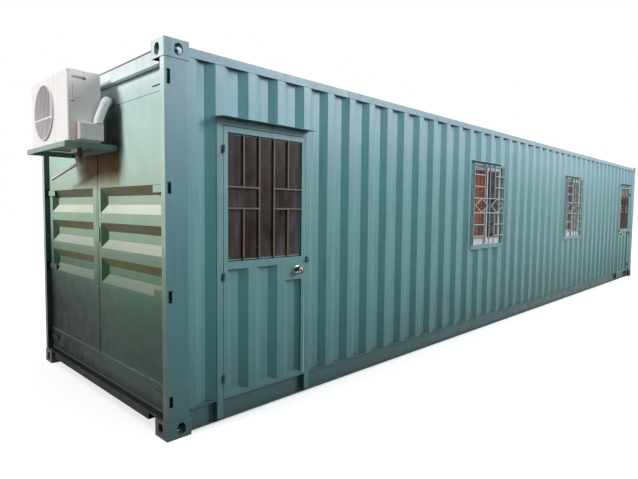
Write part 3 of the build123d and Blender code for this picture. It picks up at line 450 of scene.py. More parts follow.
def window_pane():
    """A clear pane with smears and dust that run down it."""
    f = Finish("window_glass", IOR=1.15, Transmission_Weight=1.0, Specular_IOR_Level=0.25)
    runs = f.spread(f.noise(7.0, stretch=(1, 1, 0.16), detail=3, rough=0.5, warp=0.3), 0.38, 0.64)
    blots = f.spread(f.noise(3.4, stretch=(1, 1, 0.7), detail=4), 0.4, 0.66)
    f.feed("Base Color", f.mix(f.times(runs, blots), rgb(236, 234, 236), rgb(205, 202, 200)))
    f.feed("Roughness", f.spread(f.noise(7.0, detail=4), 0.35, 0.75, 0.04, 0.14))
    return f.material


BETWEEN_DOORS_X = (0.0, 0.1)         # the far door's pane has what is behind it


def door_glass():
    """Brown tinted pane with a dull film: wine-dark stripes, a lilac streak and grey clouds."""
    f = Finish("door_glass", IOR=1.2, Transmission_Weight=0.25, Specular_IOR_Level=0.2)
    stripes = f.noise(9.0, stretch=(1, 1, 0.12), detail=2, rough=0.4)
    tone = f.ramp(stripes, [(0.36, rgb(58, 44, 46)), (0.47, rgb(82, 64, 61)), (0.54, rgb(82, 74, 70)),
                            (0.60, rgb(96, 84, 100)), (0.68, rgb(76, 66, 70))])
    clouds = f.spread(f.noise(3.0, stretch=(1, 1, 0.7), detail=4, rough=0.6), 0.42, 0.66, 0.0, 0.75)
    tone = f.mix(clouds, tone, rgb(100, 94, 88))
    blots = f.spread(f.noise(5.2, detail=3), 0.56, 0.68, 0.0, 0.6)
    tone = f.mix(blots, tone, rgb(44, 44, 44))
    behind_far_door = f.by_height(f.axis("Z"), [(1.30, rgb(84, 34, 40)), (1.78, rgb(66, 28, 38)),
                                                (1.83, rgb(112, 110, 92)), (1.92, rgb(204, 218, 190))])
    in_far_door = f.spread(f.axis("X"), *BETWEEN_DOORS_X, 0.0, 0.95)
    f.feed("Base Color", f.mix(in_far_door, tone, behind_far_door))
    f.feed("Roughness", f.spread(f.noise(11.0, detail=4), 0.35, 0.7, 0.10, 0.28))
    return f.material


def brushed_steel(name, colour, dark):
    """Drawn steel, with its grain along X."""
    f = Finish(name, Metallic=1.0)
    grain = f.spread(f.noise(60.0, stretch=(0.1, 1, 1), detail=5, rough=0.7), 0.35, 0.7)
    f.feed("Base Color", f.mix(f.times(grain, 0.4), colour, dark))
    f.feed("Roughness", f.spread(grain, 0, 1, 0.3, 0.45))
    f.feed("Normal", f.bump(grain, 0.2 * MM, 0.3, over=f.soft_edge(1 * MM)))
    return f.material


def coating(name, colour, shade, rough=0.4, grime=0.35, peel=300.0):
    """Powder coat or moulded plastic: even colour with handled patches, dust and streaks."""
    f = Finish(name, Specular_IOR_Level=0.45)
    patches = f.spread(f.noise(7.0, detail=6, rough=0.65), 0.4, 0.75)
    runs = f.spread(f.noise(30.0, stretch=(1, 1, 0.06), detail=3), 0.55, 0.75)
    dirt = f.maths("MAXIMUM", patches, runs)
    tone = f.mix(f.times(dirt, grime), colour, shade)
    edges = f.times(f.edge_mask(2 * MM), f.spread(f.noise(40.0, detail=5), 0.45, 0.6))
    tone = f.mix(f.times(edges, 0.35), tone, shade)
    f.feed("Base Color", tone)
    f.feed("Roughness", f.spread(f.noise(12.0, detail=5), 0.3, 0.7, rough - 0.05, rough + 0.1))
    add_grain(f, peel, over=f.soft_edge(1.5 * MM))
    return f.material


# X from the cargo-door end where each length of cloth ends, and its two dyes.
CURTAINS = [(4.72, rgb(184, 92, 22), rgb(112, 56, 28)), (6.00, rgb(108, 66, 44), rgb(58, 46, 44)),
            (8.04, rgb(124, 70, 60), rgb(88, 84, 58)), (9.00, rgb(136, 126, 118), rgb(94, 90, 92))]
THREADS = 420.0


def cloth():
    """Woven curtain fabric, dyed by its place along the wall."""
    f = Finish("curtain_cloth", Sheen_Weight=0.2, Roughness=0.85, Specular_IOR_Level=0.2)
    bands = f.noise(5.5, stretch=(1, 1, 0.3), detail=3, rough=0.5)
    x = f.axis("X")
    tone = None
    for ends, light, dark in CURTAINS:
        dyed = f.ramp(bands, [(0.36, light), (0.62, dark)])
        tone = dyed if tone is None else f.mix(f.spread(x, last, last + 0.01), tone, dyed)
        last = along(ends)
    warp, weft = f.wave(THREADS, "X", 0.4), f.wave(THREADS, "Z", 0.4)
    tone = f.mix(f.times(warp, 0.08), tone, rgb(50, 34, 28))
    # painted shade in the folds
    tone = f.mix(f.times(f.crevice(0.03), 0.6), tone, rgb(30, 22, 20))
    f.feed("Base Color", tone)
    f.feed("Normal", f.bump(f.maths("ADD", warp, weft), 0.3 * MM, 0.5))
    return f.material


BOARD = 1.22                         # width of a sheet of plywood or lining
JOINT = (0.004, 0.0015)              # from a joint's edge to its middle


def boards(name, colour, shade, seam):
    """Boards with joints across X and grain along Z."""
    f = Finish(name)
    grain = f.noise(28.0, stretch=(1, 1, 0.05), detail=6, rough=0.7, warp=0.6)
    tone = f.mix(f.spread(grain, 0.35, 0.7), colour, shade)
    count = f.maths("DIVIDE", f.axis("X"), BOARD)
    near = f.maths("ABSOLUTE", f.maths("SUBTRACT", f.maths("FRACT", count), 0.5))
    joint = f.spread(near, *(0.5 - reach / BOARD for reach in JOINT))
    f.feed("Base Color", f.mix(joint, tone, seam))
    f.feed("Roughness", f.spread(grain, 0.3, 0.7, 0.6, 0.8))
    grooves = f.bump(joint, -3 * MM, 0.8)
    f.feed("Normal", f.bump(grain, 0.6 * MM, 0.4, over=grooves))
    return f.material


def chrome():
    """Polished plate with reflections painted into its colour: a dark painted reflection of the ground and the
    yard, and painted highlights bright on its shoulders.
    """
    f = Finish("knob_chrome", Metallic=1.0)
    up = f.spread(f.facing("Z"), -1.0, 1.0)
    # painted reflections and highlights, chosen by which way each face looks
    tone = f.ramp(up, [(0.10, rgb(40, 38, 38)), (0.42, rgb(86, 82, 80)), (0.52, rgb(60, 54, 52)),
                       (0.66, rgb(214, 212, 212)), (0.84, rgb(150, 152, 154)), (0.95, rgb(96, 98, 98))])
    shoulders = f.ramp(up, [(0.3, rgb(190, 188, 186)), (0.55, rgb(52, 50, 48))])
    facets = f.spread(f.maths("ABSOLUTE", f.facing("X")), 0.35, 0.6, 0.0, 0.8)
    f.feed("Base Color", f.mix(facets, tone, shoulders))
    f.feed("Roughness", f.spread(f.noise(60.0, detail=4), 0.3, 0.7, 0.10, 0.24))
    return f.material


def drain_pipe():
    """Weathered pipe: reddish brown at the elbow under the unit, bleached along the run, with painted shade on
    its underside.
    """
    f = Finish("drain_plastic", Roughness=0.55, Specular_IOR_Level=0.3)
    shelf_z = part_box("ac_shelf")[0].z
    run = f.spread(f.axis("Z"), shelf_z - 0.03, shelf_z - 0.10)
    tone = f.mix(run, rgb(120, 62, 46), rgb(246, 238, 222))
    # painted shade on the underside
    tone = f.mix(f.spread(f.facing("Z"), 0.1, -0.5, 0.0, 0.8), tone, rgb(116, 104, 66))
    tone = f.mix(f.spread(f.noise(26.0, detail=4), 0.5, 0.75, 0.0, 0.4), tone, rgb(132, 112, 84))
    f.feed("Base Color", tone)
    add_grain(f)
    return f.material


def moulded_case():
    """The outdoor unit's case: pale all over, pinker inside the fan's mouth, with dust and painted shade in its
    corners.
    """
    f = Finish("ac_case", Specular_IOR_Level=0.35)
    front = f.spread(f.facing("X"), -0.4, -0.8)
    tone = f.mix(front, rgb(240, 236, 234), rgb(240, 236, 236))
    case_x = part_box("ac_body")[0].x
    set_back = f.times(f.spread(f.axis("X"), case_x + 0.03, case_x + 0.04), front)
    tone = f.mix(set_back, tone, rgb(206, 186, 182))
    runs = f.spread(f.noise(26.0, stretch=(1, 1, 0.06), detail=3), 0.55, 0.75)
    dirt = f.maths("MAXIMUM", f.spread(f.noise(7.0, detail=6, rough=0.65), 0.45, 0.8), runs)
    tone = f.mix(f.times(dirt, 0.22), tone, rgb(196, 186, 176))
    # dust and painted shade in corners
    tone = f.mix(f.times(f.crevice(0.02), 0.6), tone, rgb(84, 80, 78))
    f.feed("Base Color", tone)
    f.feed("Roughness", f.spread(f.noise(12.0, detail=5), 0.3, 0.7, 0.37, 0.52))
    add_grain(f, over=f.soft_edge(2 * MM))
    return f.material


# By the record's material slots, and one that isn't a slot: wall_paint made paler for the painted highlight on
# the door leaves' lips.
MATERIALS = {
    "wall_paint": enamel("wall_paint", SIDE_TONES, dents=3 * MM),
    "frame_paint": enamel("frame_paint", FRAME_TONES, END_LIT_TONES, wear=0.8, rust=0.7, under=0.9),
    "end_paint": enamel("end_paint", END_LIT_TONES, rough=0.45, wear=0.7, grime=0.3, streak=0.08, under=0.0),
    "underbody_paint": enamel("underbody_paint", UNDERBODY_TONES, rust=1.0),
    "floor_ply": boards("floor_ply", rgb(150, 112, 76), rgb(112, 80, 52), rgb(60, 42, 30)),
    "lining_board": boards("lining_board", rgb(222, 214, 198), rgb(206, 196, 178), rgb(150, 140, 124)),
    "door_glass": door_glass(),
    "brass_bars": coating("brass_bars", rgb(90, 78, 56), rgb(68, 54, 40), rough=0.5, grime=0.6),
    "hinge_steel": coating("hinge_steel", rgb(38, 66, 70), rgb(24, 36, 38), rough=0.45),
    "lip_highlight_paint": coating("lip_highlight_paint", rgb(152, 206, 204), rgb(112, 164, 162), rough=0.45),
    "knob_chrome": chrome(),
    "window_white": coating("window_white", rgb(206, 206, 214), rgb(160, 162, 170), rough=0.35),
    "window_glass": window_pane(),
    "grille_white": coating("grille_white", rgb(158, 172, 174), rgb(112, 124, 126), rough=0.5),
    "curtain_cloth": cloth(),
    "rod_steel": brushed_steel("rod_steel", rgb(180, 180, 180), rgb(120, 120, 120)),
    "shelf_paint": enamel("shelf_paint", SHELF_TONES, SHELF_LIT_END_TONES, rust=0.9, under=0.9, underside_colour=SHELF_UNDERSIDE_DIRT_AND_SHADE),
    "ac_case": moulded_case(),
    "ac_fan": coating("ac_fan", rgb(244, 232, 246), rgb(206, 192, 212), rough=0.5),
    "ac_guard": coating("ac_guard", rgb(246, 240, 246), rgb(206, 196, 208)),
    "pipe_wrap": coating("pipe_wrap", rgb(244, 245, 248), rgb(206, 207, 212), rough=0.55, peel=120.0),
    "drain_plastic": drain_pipe(),
}


def dress_frame():
    """Give every CAD node the finish of its material slot."""
    for part in frame["record"]["subparts"]:
        node, slot = NODES[part["node"]], part["material_slot"]
        if not node.material_slots:
            node.data.materials.append(MATERIALS[slot])
        for held in node.material_slots:
            held.material = MATERIALS[slot]


dress_frame()


# ------------------------------------------------------------------ pieces
class Piece:
    """A mesh under construction, in metres in the shared frame."""

    def __init__(self):
        self.mesh = bmesh.new()

    def faces(self, rings, closed=True, smooth=True):
        """Quads between neighbouring rings of points."""
        rows = [[self.mesh.verts.new(point) for point in ring] for ring in rings]
        count = len(rows[0])
        for low, high in zip(rows, rows[1:]):
            for i in range(count if closed else count - 1):
                j = (i + 1) % count
                self.mesh.faces.new((low[i], low[j], high[j], high[i])).smooth = smooth
        return rows

    def box(self, low, high, bevel):
        """A block with its edges taken off."""
        low, high = Vector(low), Vector(high)
        made = bmesh.ops.create_cube(self.mesh, size=1.0)
        for vert in made["verts"]:
            vert.co = Vector(((low[i] + high[i]) / 2 + vert.co[i] * (high[i] - low[i]) for i in range(3)))
        edges = {edge for vert in made["verts"] for edge in vert.link_edges}
        bmesh.ops.bevel(self.mesh, geom=list(edges), offset=bevel, segments=2, profile=0.6, affect="EDGES")

    def turned(self, base, axis, profile, sides):
        """A turned shape: profile is (radius, height along axis) from the rim to the middle."""
        turn = Vector(axis).normalized().to_track_quat("Z", "Y")
        angles = [2 * math.pi * i / sides for i in range(sides)]
        rows = self.faces([[base + turn @ Vector((radius * math.cos(angle), radius * math.sin(angle), height))
                            for angle in angles] for radius, height in profile])
        for row in (rows[0], rows[-1]):
            self.mesh.faces.new(row)

    def screw(self, base, axis, radius):
        """A pan head with a slot's hollow in it."""
        profile = ((1.0, 0.0), (1.0, 0.35), (0.8, 0.6), (0.45, 0.68), (0.35, 0.5))      # in radii
        self.turned(base, axis, [(across * radius, up * radius) for across, up in profile], sides=12)

    def bead(self, low, high, y0, y1, size):
        """A sloping bead round an opening in a wall that faces -Y: low and high are its (x, z) corners."""
        rings = []
        for inset, y in ((0.0, y0), (0.4 * size, y0), (size, y1), (0.0, y1)):
            rings.append([Vector((x, y, z)) for x, z in (
                (low[0] + inset, low[1] + inset), (high[0] - inset, low[1] + inset),
                (high[0] - inset, high[1] - inset), (low[0] + inset, high[1] - inset))])
        self.faces(rings + rings[:1], smooth=False)

    def done(self, name, body, slot):
        """Close the mesh as a piece on the body, with the slot's finish."""
        bmesh.ops.remove_doubles(self.mesh, verts=self.mesh.verts, dist=1e-6)
        bmesh.ops.recalc_face_normals(self.mesh, faces=self.mesh.faces)
        data = bpy.data.meshes.new(name)
        self.mesh.to_mesh(data)
        self.mesh.free()
        piece = bpy.data.objects.new(name, data)
        SCENE.collection.objects.link(piece)
        piece.data.materials.append(MATERIALS[slot])
        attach(piece, body)
        return piece


# ------------------------------------------------------------------ curtains
FOLD = 0.058                         # width covered by one fold
FOLD_COLUMNS, ROWS = 14, 36          # mesh columns in each fold, and rows
FOLD_CLEARANCE = 0.003               # kept free at the front and back of the CAD slab
FULLEST, SLACKEST, MOST_LEAN = 1.0, 0.72, 0.35
TOP_DEPTH = 0.86                     # how deep the folds are at the rod; they open to 1 at the hem
FOLD_BULGE, HEM_DIP = 0.009, 0.004
QUARTER_TURNS = (0.0, 1.571, 3.142, 4.712)
RING_RADIUS, RING_WIRE, RING_SIDES = 0.0125, 0.0012, 16
ROD_OVER_CLOTH, RING_DROP = 0.014, 0.0023                 # the rings hang on the rod, so their middle is lower
CURTAIN_SPLIT, CURTAIN_GAP, CURTAIN_INSET = 0.72, 0.012, 0.01


def curtain_panel(name, x0, x1, slab_low, slab_high, seed):
    """One gathered panel: folds that drift and open a little towards the hem; also its ring places."""
    draw = random.Random(seed)
    folds = round((x1 - x0) / FOLD)
    columns = folds * FOLD_COLUMNS
    middle, reach = (slab_low.y + slab_high.y) / 2, (slab_high.y - slab_low.y) / 2 - FOLD_CLEARANCE
    sizes = [draw.uniform(SLACKEST, FULLEST) for _ in range(folds + 1)]
    leans = [draw.uniform(-MOST_LEAN, MOST_LEAN) for _ in range(folds + 1)]
    rings = []
    for row in range(ROWS + 1):
        down = row / ROWS
        z = slab_high.z - down * (slab_high.z - slab_low.z)
        ring = []
        for column in range(columns + 1):
            place_in_folds = folds * column / columns
            fold = min(int(place_in_folds), folds - 1)
            share = place_in_folds - fold
            size = sizes[fold] * (1 - share) + sizes[fold + 1] * share
            lean = (leans[fold] * (1 - share) + leans[fold + 1] * share) * down
            phase = 2 * math.pi * place_in_folds + lean * math.sin(3.1 * down + fold)
            x = x0 + (x1 - x0) * column / columns + FOLD_BULGE * size * math.sin(2 * phase)
            y = middle + reach * size * (TOP_DEPTH + (1 - TOP_DEPTH) * down) * math.sin(phase)
            ring.append(Vector((x, y, z + HEM_DIP * math.sin(phase) * down)))
        rings.append(ring)
    piece = Piece()
    piece.faces(rings, closed=False)
    tops = [rings[0][FOLD_COLUMNS * i + FOLD_COLUMNS // 2].x for i in range(folds)]
    return piece.done(name, "cabin", "curtain_cloth"), tops


def curtain_rings(name, spots, middle):
    """Steel rings that carry the cloth on the rod; middle is the height and depth of their centres."""
    piece = Piece()
    for x in spots:
        centre = Vector((x, middle.y, middle.z))
        rings = []
        for i in range(RING_SIDES + 1):
            turn = 2 * math.pi * i / RING_SIDES
            around = Vector((0.0, math.cos(turn), math.sin(turn)))
            rings.append([centre + around * (RING_RADIUS + RING_WIRE * math.cos(angle))
                          + Vector((RING_WIRE * math.sin(angle), 0, 0)) for angle in QUARTER_TURNS])
        piece.faces(rings)
    return piece.done(name, "cabin", "rod_steel")


def curtains(window):
    """Two gathered panels on the rod, in place of the CAD slab."""
    slab_low, slab_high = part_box(f"window_{window}_curtain")
    middle = Vector((0.0, (slab_low.y + slab_high.y) / 2, slab_high.z + ROD_OVER_CLOTH - RING_DROP))
    split = slab_low.x + CURTAIN_SPLIT * (slab_high.x - slab_low.x)
    for side, x0, x1 in (("left", slab_low.x + CURTAIN_INSET, split),
                         ("right", split + CURTAIN_GAP, slab_high.x - CURTAIN_INSET)):
        name = f"window_{window}_curtain_{side}"
        cloth_piece, tops = curtain_panel(name, x0, x1, slab_low, slab_high, 31 * window + len(side))
        rings = curtain_rings(f"{name}_rings", tops, middle)
        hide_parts(f"window_{window}_curtain")


# ------------------------------------------------------------------ windows
PANE_INSET, PANE_BEAD, PANE_BEAD_DEPTH, PANE_THICKNESS = 0.006, 0.010, 0.004, 0.005
WINDOW_SCREW, SCREW_INSET, SCREW_SHARES = 0.0045, 0.02, (0.06, 0.35, 0.65, 0.94)
# Dark strips on the surround: sealing, and painted shadow lines at the side, the foot and under the canopy on
# the head.
SEAL_AND_SHADOW_DEPTHS = (0.003, 0.0075)                          # from the face of the surround
SILL_SEAL_AND_SHADOW, SIDE_SEAL_AND_SHADOW, SIDE_SEAL_AND_SHADOW_DROP = 0.006, 0.006, 0.004
HEAD_PROUD, HEAD_SUNK, HEAD_DROP, HEAD_RISE, HEAD_SHORT = 0.0015, 0.001, 0.011, 0.002, 0.1   # strip on the head


def window_fittings(window):
    """Glazing beads round both panes, screws in the surround, and dark sealing strips round it that also paint
    the shadow lines at its side, foot and head.
    """
    panes_low, panes_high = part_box(f"window_{window}_glass")
    low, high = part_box(f"window_{window}_frame")
    beads = Piece()
    middle = (panes_low.x + panes_high.x) / 2
    for x0, x1, y in ((panes_low.x, middle, panes_high.y - PANE_THICKNESS),
                      (middle, panes_high.x, panes_low.y)):
        beads.bead((x0 + PANE_INSET, panes_low.z + PANE_INSET), (x1 - PANE_INSET, panes_high.z - PANE_INSET),
                   y - PANE_BEAD_DEPTH, y, PANE_BEAD)
    beads.done(f"window_{window}_glazing", "cabin", "window_white")
    screws = Piece()
    for z in (low.z + SCREW_INSET, high.z - SCREW_INSET):
        for share in SCREW_SHARES:
            screws.screw(Vector((low.x + share * (high.x - low.x), low.y, z)), (0, -1, 0), WINDOW_SCREW)
    screws.done(f"window_{window}_screws", "cabin", "hinge_steel")
    # dark sealing strips, also painted shadow lines at the side, foot and head
    sealant_and_shadow = Piece()
    front, back = (low.y + depth for depth in SEAL_AND_SHADOW_DEPTHS)
    sealant_and_shadow.box((high.x, front, low.z - SIDE_SEAL_AND_SHADOW_DROP), (high.x + SIDE_SEAL_AND_SHADOW, back, high.z),
                bevel=1.5 * MM)
    sealant_and_shadow.box((low.x, front, low.z - SILL_SEAL_AND_SHADOW), (high.x, back, low.z), bevel=1.5 * MM)
    sealant_and_shadow.box((low.x, low.y - HEAD_PROUD, high.z - HEAD_DROP),
                (high.x - HEAD_SHORT, low.y + HEAD_SUNK, high.z + HEAD_RISE), bevel=0.6 * MM)
    sealant_and_shadow.done(f"window_{window}_sealant", "cabin", "hinge_steel")


# ------------------------------------------------------------------ doors
DOOR_BEAD, DOOR_BEAD_INSET = 0.006, 0.008
ROSE = [(0.038, 0.0), (0.038, 0.002), (0.034, 0.0045), (0.026, 0.0055), (0.020, 0.0055), (0.018, 0.004)]
LIP_WIDTH, LIP_PROUD, LIP_SUNK = 0.007, 0.0015, 0.0005
TOP_LIP_HEIGHT, TOP_LIP_INSET = 0.008, 0.001
SIDE_LIP_FOOT, SIDE_LIP_HEAD = 0.01, 0.009                # how far the closing side's lip ends from the corners
JAMB_WIDTH, GASKET_WIDTH, GASKET_DEPTHS = 0.050, 0.0035, (0.002, 0.009)       # depths from the leaf's face


def hinged_at_low_x(number):
    """Whether the knob is on the half of the leaf with the higher X."""
    low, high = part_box(f"door_{number}_leaf")
    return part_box(f"door_{number}_knob")[0].x > (low.x + high.x) / 2


def door_fittings(number):
    """Glazing bead and knob rose of a personnel door."""
    body = f"door_{number}"
    low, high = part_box(f"{body}_glass")
    bead = Piece()
    bead.bead((low.x + DOOR_BEAD_INSET, low.z + DOOR_BEAD_INSET),
              (high.x - DOOR_BEAD_INSET, high.z - DOOR_BEAD_INSET), low.y - DOOR_BEAD, low.y, DOOR_BEAD)
    bead.done(f"{body}_glazing", body, "wall_paint")
    knob_low, knob_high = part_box(f"{body}_knob")
    leaf_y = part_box(f"{body}_leaf")[0].y
    rose = Piece()
    centre = Vector(((knob_low.x + knob_high.x) / 2, leaf_y, (knob_low.z + knob_high.z) / 2))
    rose.turned(centre, (0, -1, 0), ROSE, sides=40)
    rose.done(f"{body}_rose", body, "knob_chrome")


def door_lips(number):
    """The leaf's folded lips along the top and the closing side, painted pale as a highlight."""
    body = f"door_{number}"
    low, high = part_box(f"{body}_leaf")
    closing_x = high.x if hinged_at_low_x(number) else low.x + LIP_WIDTH
    front, back = low.y - LIP_PROUD, low.y + LIP_SUNK
    lips = Piece()
    lips.box((low.x + TOP_LIP_INSET, front, high.z - TOP_LIP_HEIGHT), (high.x - TOP_LIP_INSET, back, high.z),
             bevel=0.6 * MM)
    lips.box((closing_x - LIP_WIDTH, front, low.z + SIDE_LIP_FOOT), (closing_x, back, high.z - SIDE_LIP_HEAD),
             bevel=0.6 * MM)
    piece = lips.done(f"{body}_lips", body, "wall_paint")
    # pale paint for a painted highlight along the lips
    piece.data.materials[0] = MATERIALS["lip_highlight_paint"]


def door_gasket(number):
    """A painted seal on the hinge jamb, in the gap beside the leaf."""
    frame_low, frame_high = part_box(f"door_{number}_frame")
    low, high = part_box(f"door_{number}_leaf")
    x0 = frame_low.x + JAMB_WIDTH if hinged_at_low_x(number) else frame_high.x - JAMB_WIDTH - GASKET_WIDTH
    front, back = (low.y + depth for depth in GASKET_DEPTHS)
    seal = Piece()
    seal.box((x0, front, low.z), (x0 + GASKET_WIDTH, back, high.z), bevel=0.8 * MM)
    seal.done(f"door_{number}_gasket", "cabin", "wall_paint")


# ------------------------------------------------------------------ canopies and posts
CANOPIES = [("door_1", 0.370, 1.265, 2.149), ("door_2", 10.927, 11.822, 2.149),
            ("window_1", 4.035, 4.843, 2.137), ("window_2", 7.352, 8.160, 2.137)]   # x from, x to, seat
CANOPY_INSET, CANOPY_PLATE, CANOPY_DEPTHS = 0.003, 0.003, (0.007, 0.038)
SIXTH_TURNS = (0.0, 1.047, 2.094, 3.142, 4.189, 5.236)
WELD_STEP, WELD_SIZE, WELD_SPREAD, WELD_RIPPLE = 0.012, 0.0035, (-0.0007, 0.0012), 0.0006
WELD_Y, WELD_RISE, WELD_FLATNESS = 0.0065, 0.006, 0.8
NOTCHES = ((0.220, 0.294), (0.910, 0.990), (1.614, 1.690), (2.304, 2.396))   # z from, z to, in the end posts
NOTCH_X, NOTCH_Y, NOTCH_LAP = (0.006, 0.056), (2.4245, 2.4281), 0.004


def canopy_seals():
    """Plates that close the wall's hollows behind each drip canopy, and the weld along its back."""
    draw = random.Random(5)
    for name, x0, x1, z in CANOPIES:
        seal = Piece()
        front, back = CANOPY_DEPTHS
        seal.box(place(x0 + CANOPY_INSET, front, z), place(x1 - CANOPY_INSET, back, z + CANOPY_PLATE),
                 bevel=0.8 * MM)
        rings, steps = [], int((x1 - x0) / WELD_STEP)
        for i in range(steps + 1):
            size = WELD_SIZE + draw.uniform(*WELD_SPREAD) + WELD_RIPPLE * math.sin(i * 1.9)
            x = x0 + (x1 - x0) * i / steps
            rings.append([place(x, WELD_Y + size * math.cos(angle) * WELD_FLATNESS,
                                z + WELD_RISE + size * math.sin(angle)) for angle in SIXTH_TURNS])
        seal.faces(rings)
        seal.done(f"{name}_canopy_seal", "cabin", "frame_paint")


def notch_backs():
    """Plates behind the hinge notches of the back post, so that they aren't open to the air."""
    for number, (z0, z1) in enumerate(NOTCHES, 1):
        back = Piece()
        back.box(place(NOTCH_X[0], NOTCH_Y[0], z0 - NOTCH_LAP), place(NOTCH_X[1], NOTCH_Y[1], z1 + NOTCH_LAP),
                 bevel=0.8 * MM)
        back.done(f"hinge_notch_back_{number}", "cabin", "frame_paint")


# ------------------------------------------------------------------ outdoor unit
FEET_PROUD, PLATE_PROUD = 0.010, 0.002       # how far the feet and a raised plate stand out of the case
UNIT_SCREW, TOP_ROW, BOTTOM_ROW = 0.004, 0.016, 0.022
FRONT_INSET, BACK_INSET, COLUMN_INSET, SECOND_COLUMN = 0.020, 0.030, 0.022, 0.262        # of the screws
SEAM_FROM_SIDE, SEAM_HALF, SEAM_INSET = 0.274, 0.0015, 0.012
SEAM_PROUD, SEAM_SUNK = 0.0006, 0.001
SLATS, FIRST_SLAT, SLAT_PITCH = 5, 0.30, 0.13             # shares of the valve cover's height
SLAT_PROUD, SLAT_HEIGHT, SLAT_LEFT, SLAT_RIGHT = 0.0022, 0.008, 0.022, 0.014


def unit_fittings():
    """Screws and front seam of the outdoor unit, slats of its valve cover."""
    low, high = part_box("ac_body")
    front_x, side_y = low.x + FEET_PROUD, low.y + PLATE_PROUD
    top_z, bottom_z = high.z - TOP_ROW, low.z + BOTTOM_ROW
    screws = Piece()
    for x, z in ((front_x + FRONT_INSET, top_z), (high.x - BACK_INSET, top_z), (front_x + FRONT_INSET, bottom_z),
                 ((low.x + high.x) / 2, top_z)):
        screws.screw(Vector((x, side_y, z)), (0, -1, 0), UNIT_SCREW)
    for y in (side_y + COLUMN_INSET, side_y + SECOND_COLUMN, high.y - COLUMN_INSET):
        for z in (top_z, bottom_z):
            screws.screw(Vector((front_x, y, z)), (-1, 0, 0), UNIT_SCREW)
    screws.done("ac_screws", "cabin", "rod_steel")
    seam = Piece()
    seam_y = low.y + SEAM_FROM_SIDE
    seam.box((front_x - SEAM_PROUD, seam_y - SEAM_HALF, low.z + SEAM_INSET),
             (front_x + SEAM_SUNK, seam_y + SEAM_HALF, high.z - SEAM_INSET), bevel=0.3 * MM)
    seam.done("ac_seam", "cabin", "window_white")
    low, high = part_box("ac_valve_cover")
    slats = Piece()
    for i in range(SLATS):
        z = low.z + (high.z - low.z) * (FIRST_SLAT + SLAT_PITCH * i)
        slats.box((low.x + SLAT_LEFT, low.y - SLAT_PROUD, z), (high.x - SLAT_RIGHT, low.y, z + SLAT_HEIGHT),
                  bevel=1 * MM)
    slats.done("ac_cover_slats", "cabin", "ac_case")


for number in (1, 2):
    curtains(number)
    window_fittings(number)
    door_fittings(number)
    door_lips(number)
    door_gasket(number)
canopy_seals()
notch_backs()
unit_fittings()


# ------------------------------------------------------------------ stage and light
WHITE = (1.0, 1.0, 1.0, 1.0)
SKY, AMBIENT = (0.86, 0.94, 1.0, 1.0), 0.14               # what lights the object from all round
FLOOR_SIZE = 400.0
FLOOR_SEEN, FLOOR_GLOW = (0.62, 0.62, 0.62, 1.0), 0.5
FLOOR_THROWN_BACK = (0.06, 0.06, 0.06, 1.0)
COOL, WARM, PALE_BLUE = (0.94, 0.98, 1.0), (1.0, 1.0, 0.97), (0.96, 0.98, 1.0)


def seen_directly(tree):
    """1 on camera, glossy and transmission rays."""
    path = tree.nodes.new("ShaderNodeLightPath")
    total = path.outputs["Is Camera Ray"]
    for name in ("Is Glossy Ray", "Is Transmission Ray"):
        both = tree.nodes.new("ShaderNodeMath")
        both.operation = "MAXIMUM"
        tree.links.new(total, both.inputs[0])
        tree.links.new(path.outputs[name], both.inputs[1])
        total = both.outputs["Value"]
    return total


def show(tree, hidden, seen, target):
    """Send the shader seen to the camera, gloss and glass, and the shader hidden to all other rays."""
    choose = tree.nodes.new("ShaderNodeMixShader")
    tree.links.new(seen_directly(tree), choose.inputs["Fac"])
    tree.links.new(hidden, choose.inputs[1])
    tree.links.new(seen, choose.inputs[2])
    tree.links.new(choose.outputs["Shader"], tree.nodes[target].inputs["Surface"])


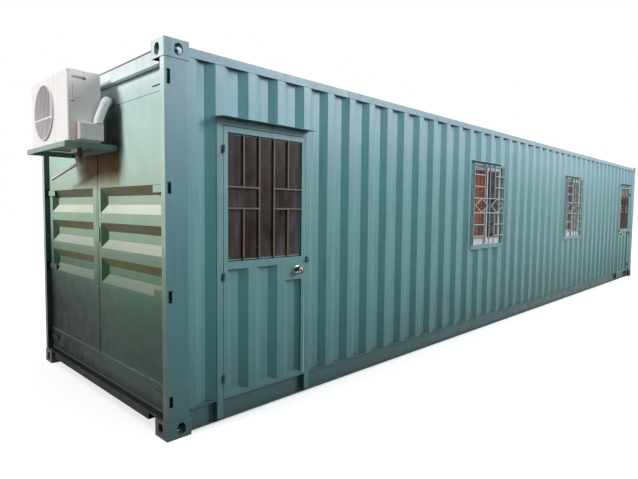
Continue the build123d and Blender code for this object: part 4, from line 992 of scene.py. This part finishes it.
def floor_finish():
    """Pale floor that keeps the object's shadow and throws little light back."""
    material = bpy.data.materials.new("studio_floor")
    material.use_nodes = True
    tree = material.node_tree
    grey = tree.nodes["Principled BSDF"]
    set_inputs(grey, Base_Color=FLOOR_THROWN_BACK, Roughness=1.0)
    pale = tree.nodes.new("ShaderNodeBsdfDiffuse")
    set_inputs(pale, Color=FLOOR_SEEN)
    glow = tree.nodes.new("ShaderNodeEmission")
    set_inputs(glow, Strength=FLOOR_GLOW)
    lit = tree.nodes.new("ShaderNodeAddShader")
    tree.links.new(pale.outputs["BSDF"], lit.inputs[0])
    tree.links.new(glow.outputs["Emission"], lit.inputs[1])
    show(tree, grey.outputs["BSDF"], lit.outputs["Shader"], "Material Output")
    return material


def stage():
    """White world and floor, as the camera, gloss and glass see them; less light for everything else."""
    world = bpy.data.worlds.new("studio")
    SCENE.world = world
    world.use_nodes = True
    tree = world.node_tree
    white, ambient = tree.nodes["Background"], tree.nodes.new("ShaderNodeBackground")
    set_inputs(white, Color=WHITE, Strength=1.0)
    set_inputs(ambient, Color=SKY, Strength=AMBIENT)
    show(tree, ambient.outputs["Background"], white.outputs["Background"], "World Output")

    bpy.ops.mesh.primitive_plane_add(size=FLOOR_SIZE)
    floor = bpy.context.object
    floor.name = "studio_floor"
    floor.data.materials.append(floor_finish())


def lamp(name, kind, power, colour, towards):
    """A lamp that shines against the direction towards; the callers set its size and place."""
    data = bpy.data.lights.new(name, kind)
    data.energy, data.color = power, colour
    made = bpy.data.objects.new(name, data)
    made.rotation_mode = "QUATERNION"
    made.rotation_quaternion = Vector(towards).to_track_quat("Z", "Y")
    SCENE.collection.objects.link(made)
    return made


def sun(name, towards, strength, angle, colour):
    """A soft far lamp; towards is the direction from the object to the lamp."""
    lamp(name, "SUN", strength, colour, towards).data.angle = math.radians(angle)


def softbox(name, spot, aim, size, power, colour):
    """A square lamp at spot, facing aim; it isn't seen itself."""
    made = lamp(name, "AREA", power, colour, spot - aim)
    made.data.shape, made.data.size = "SQUARE", size
    made.location = spot
    made.visible_camera = False


stage()
softbox("side_light", spot=place(7.5, -7.0, 5.0), aim=place(7.5, 0, 1.2), size=4.0, power=260, colour=COOL)
sun("side_sun", towards=(0.66, -0.62, 0.42), strength=1.7, angle=25, colour=COOL)
sun("end_sun", towards=(-0.86, 0.20, 0.46), strength=3.05, angle=20, colour=WARM)
sun("top_sun", towards=(0.0, -0.15, 1.0), strength=1.4, angle=60, colour=PALE_BLUE)
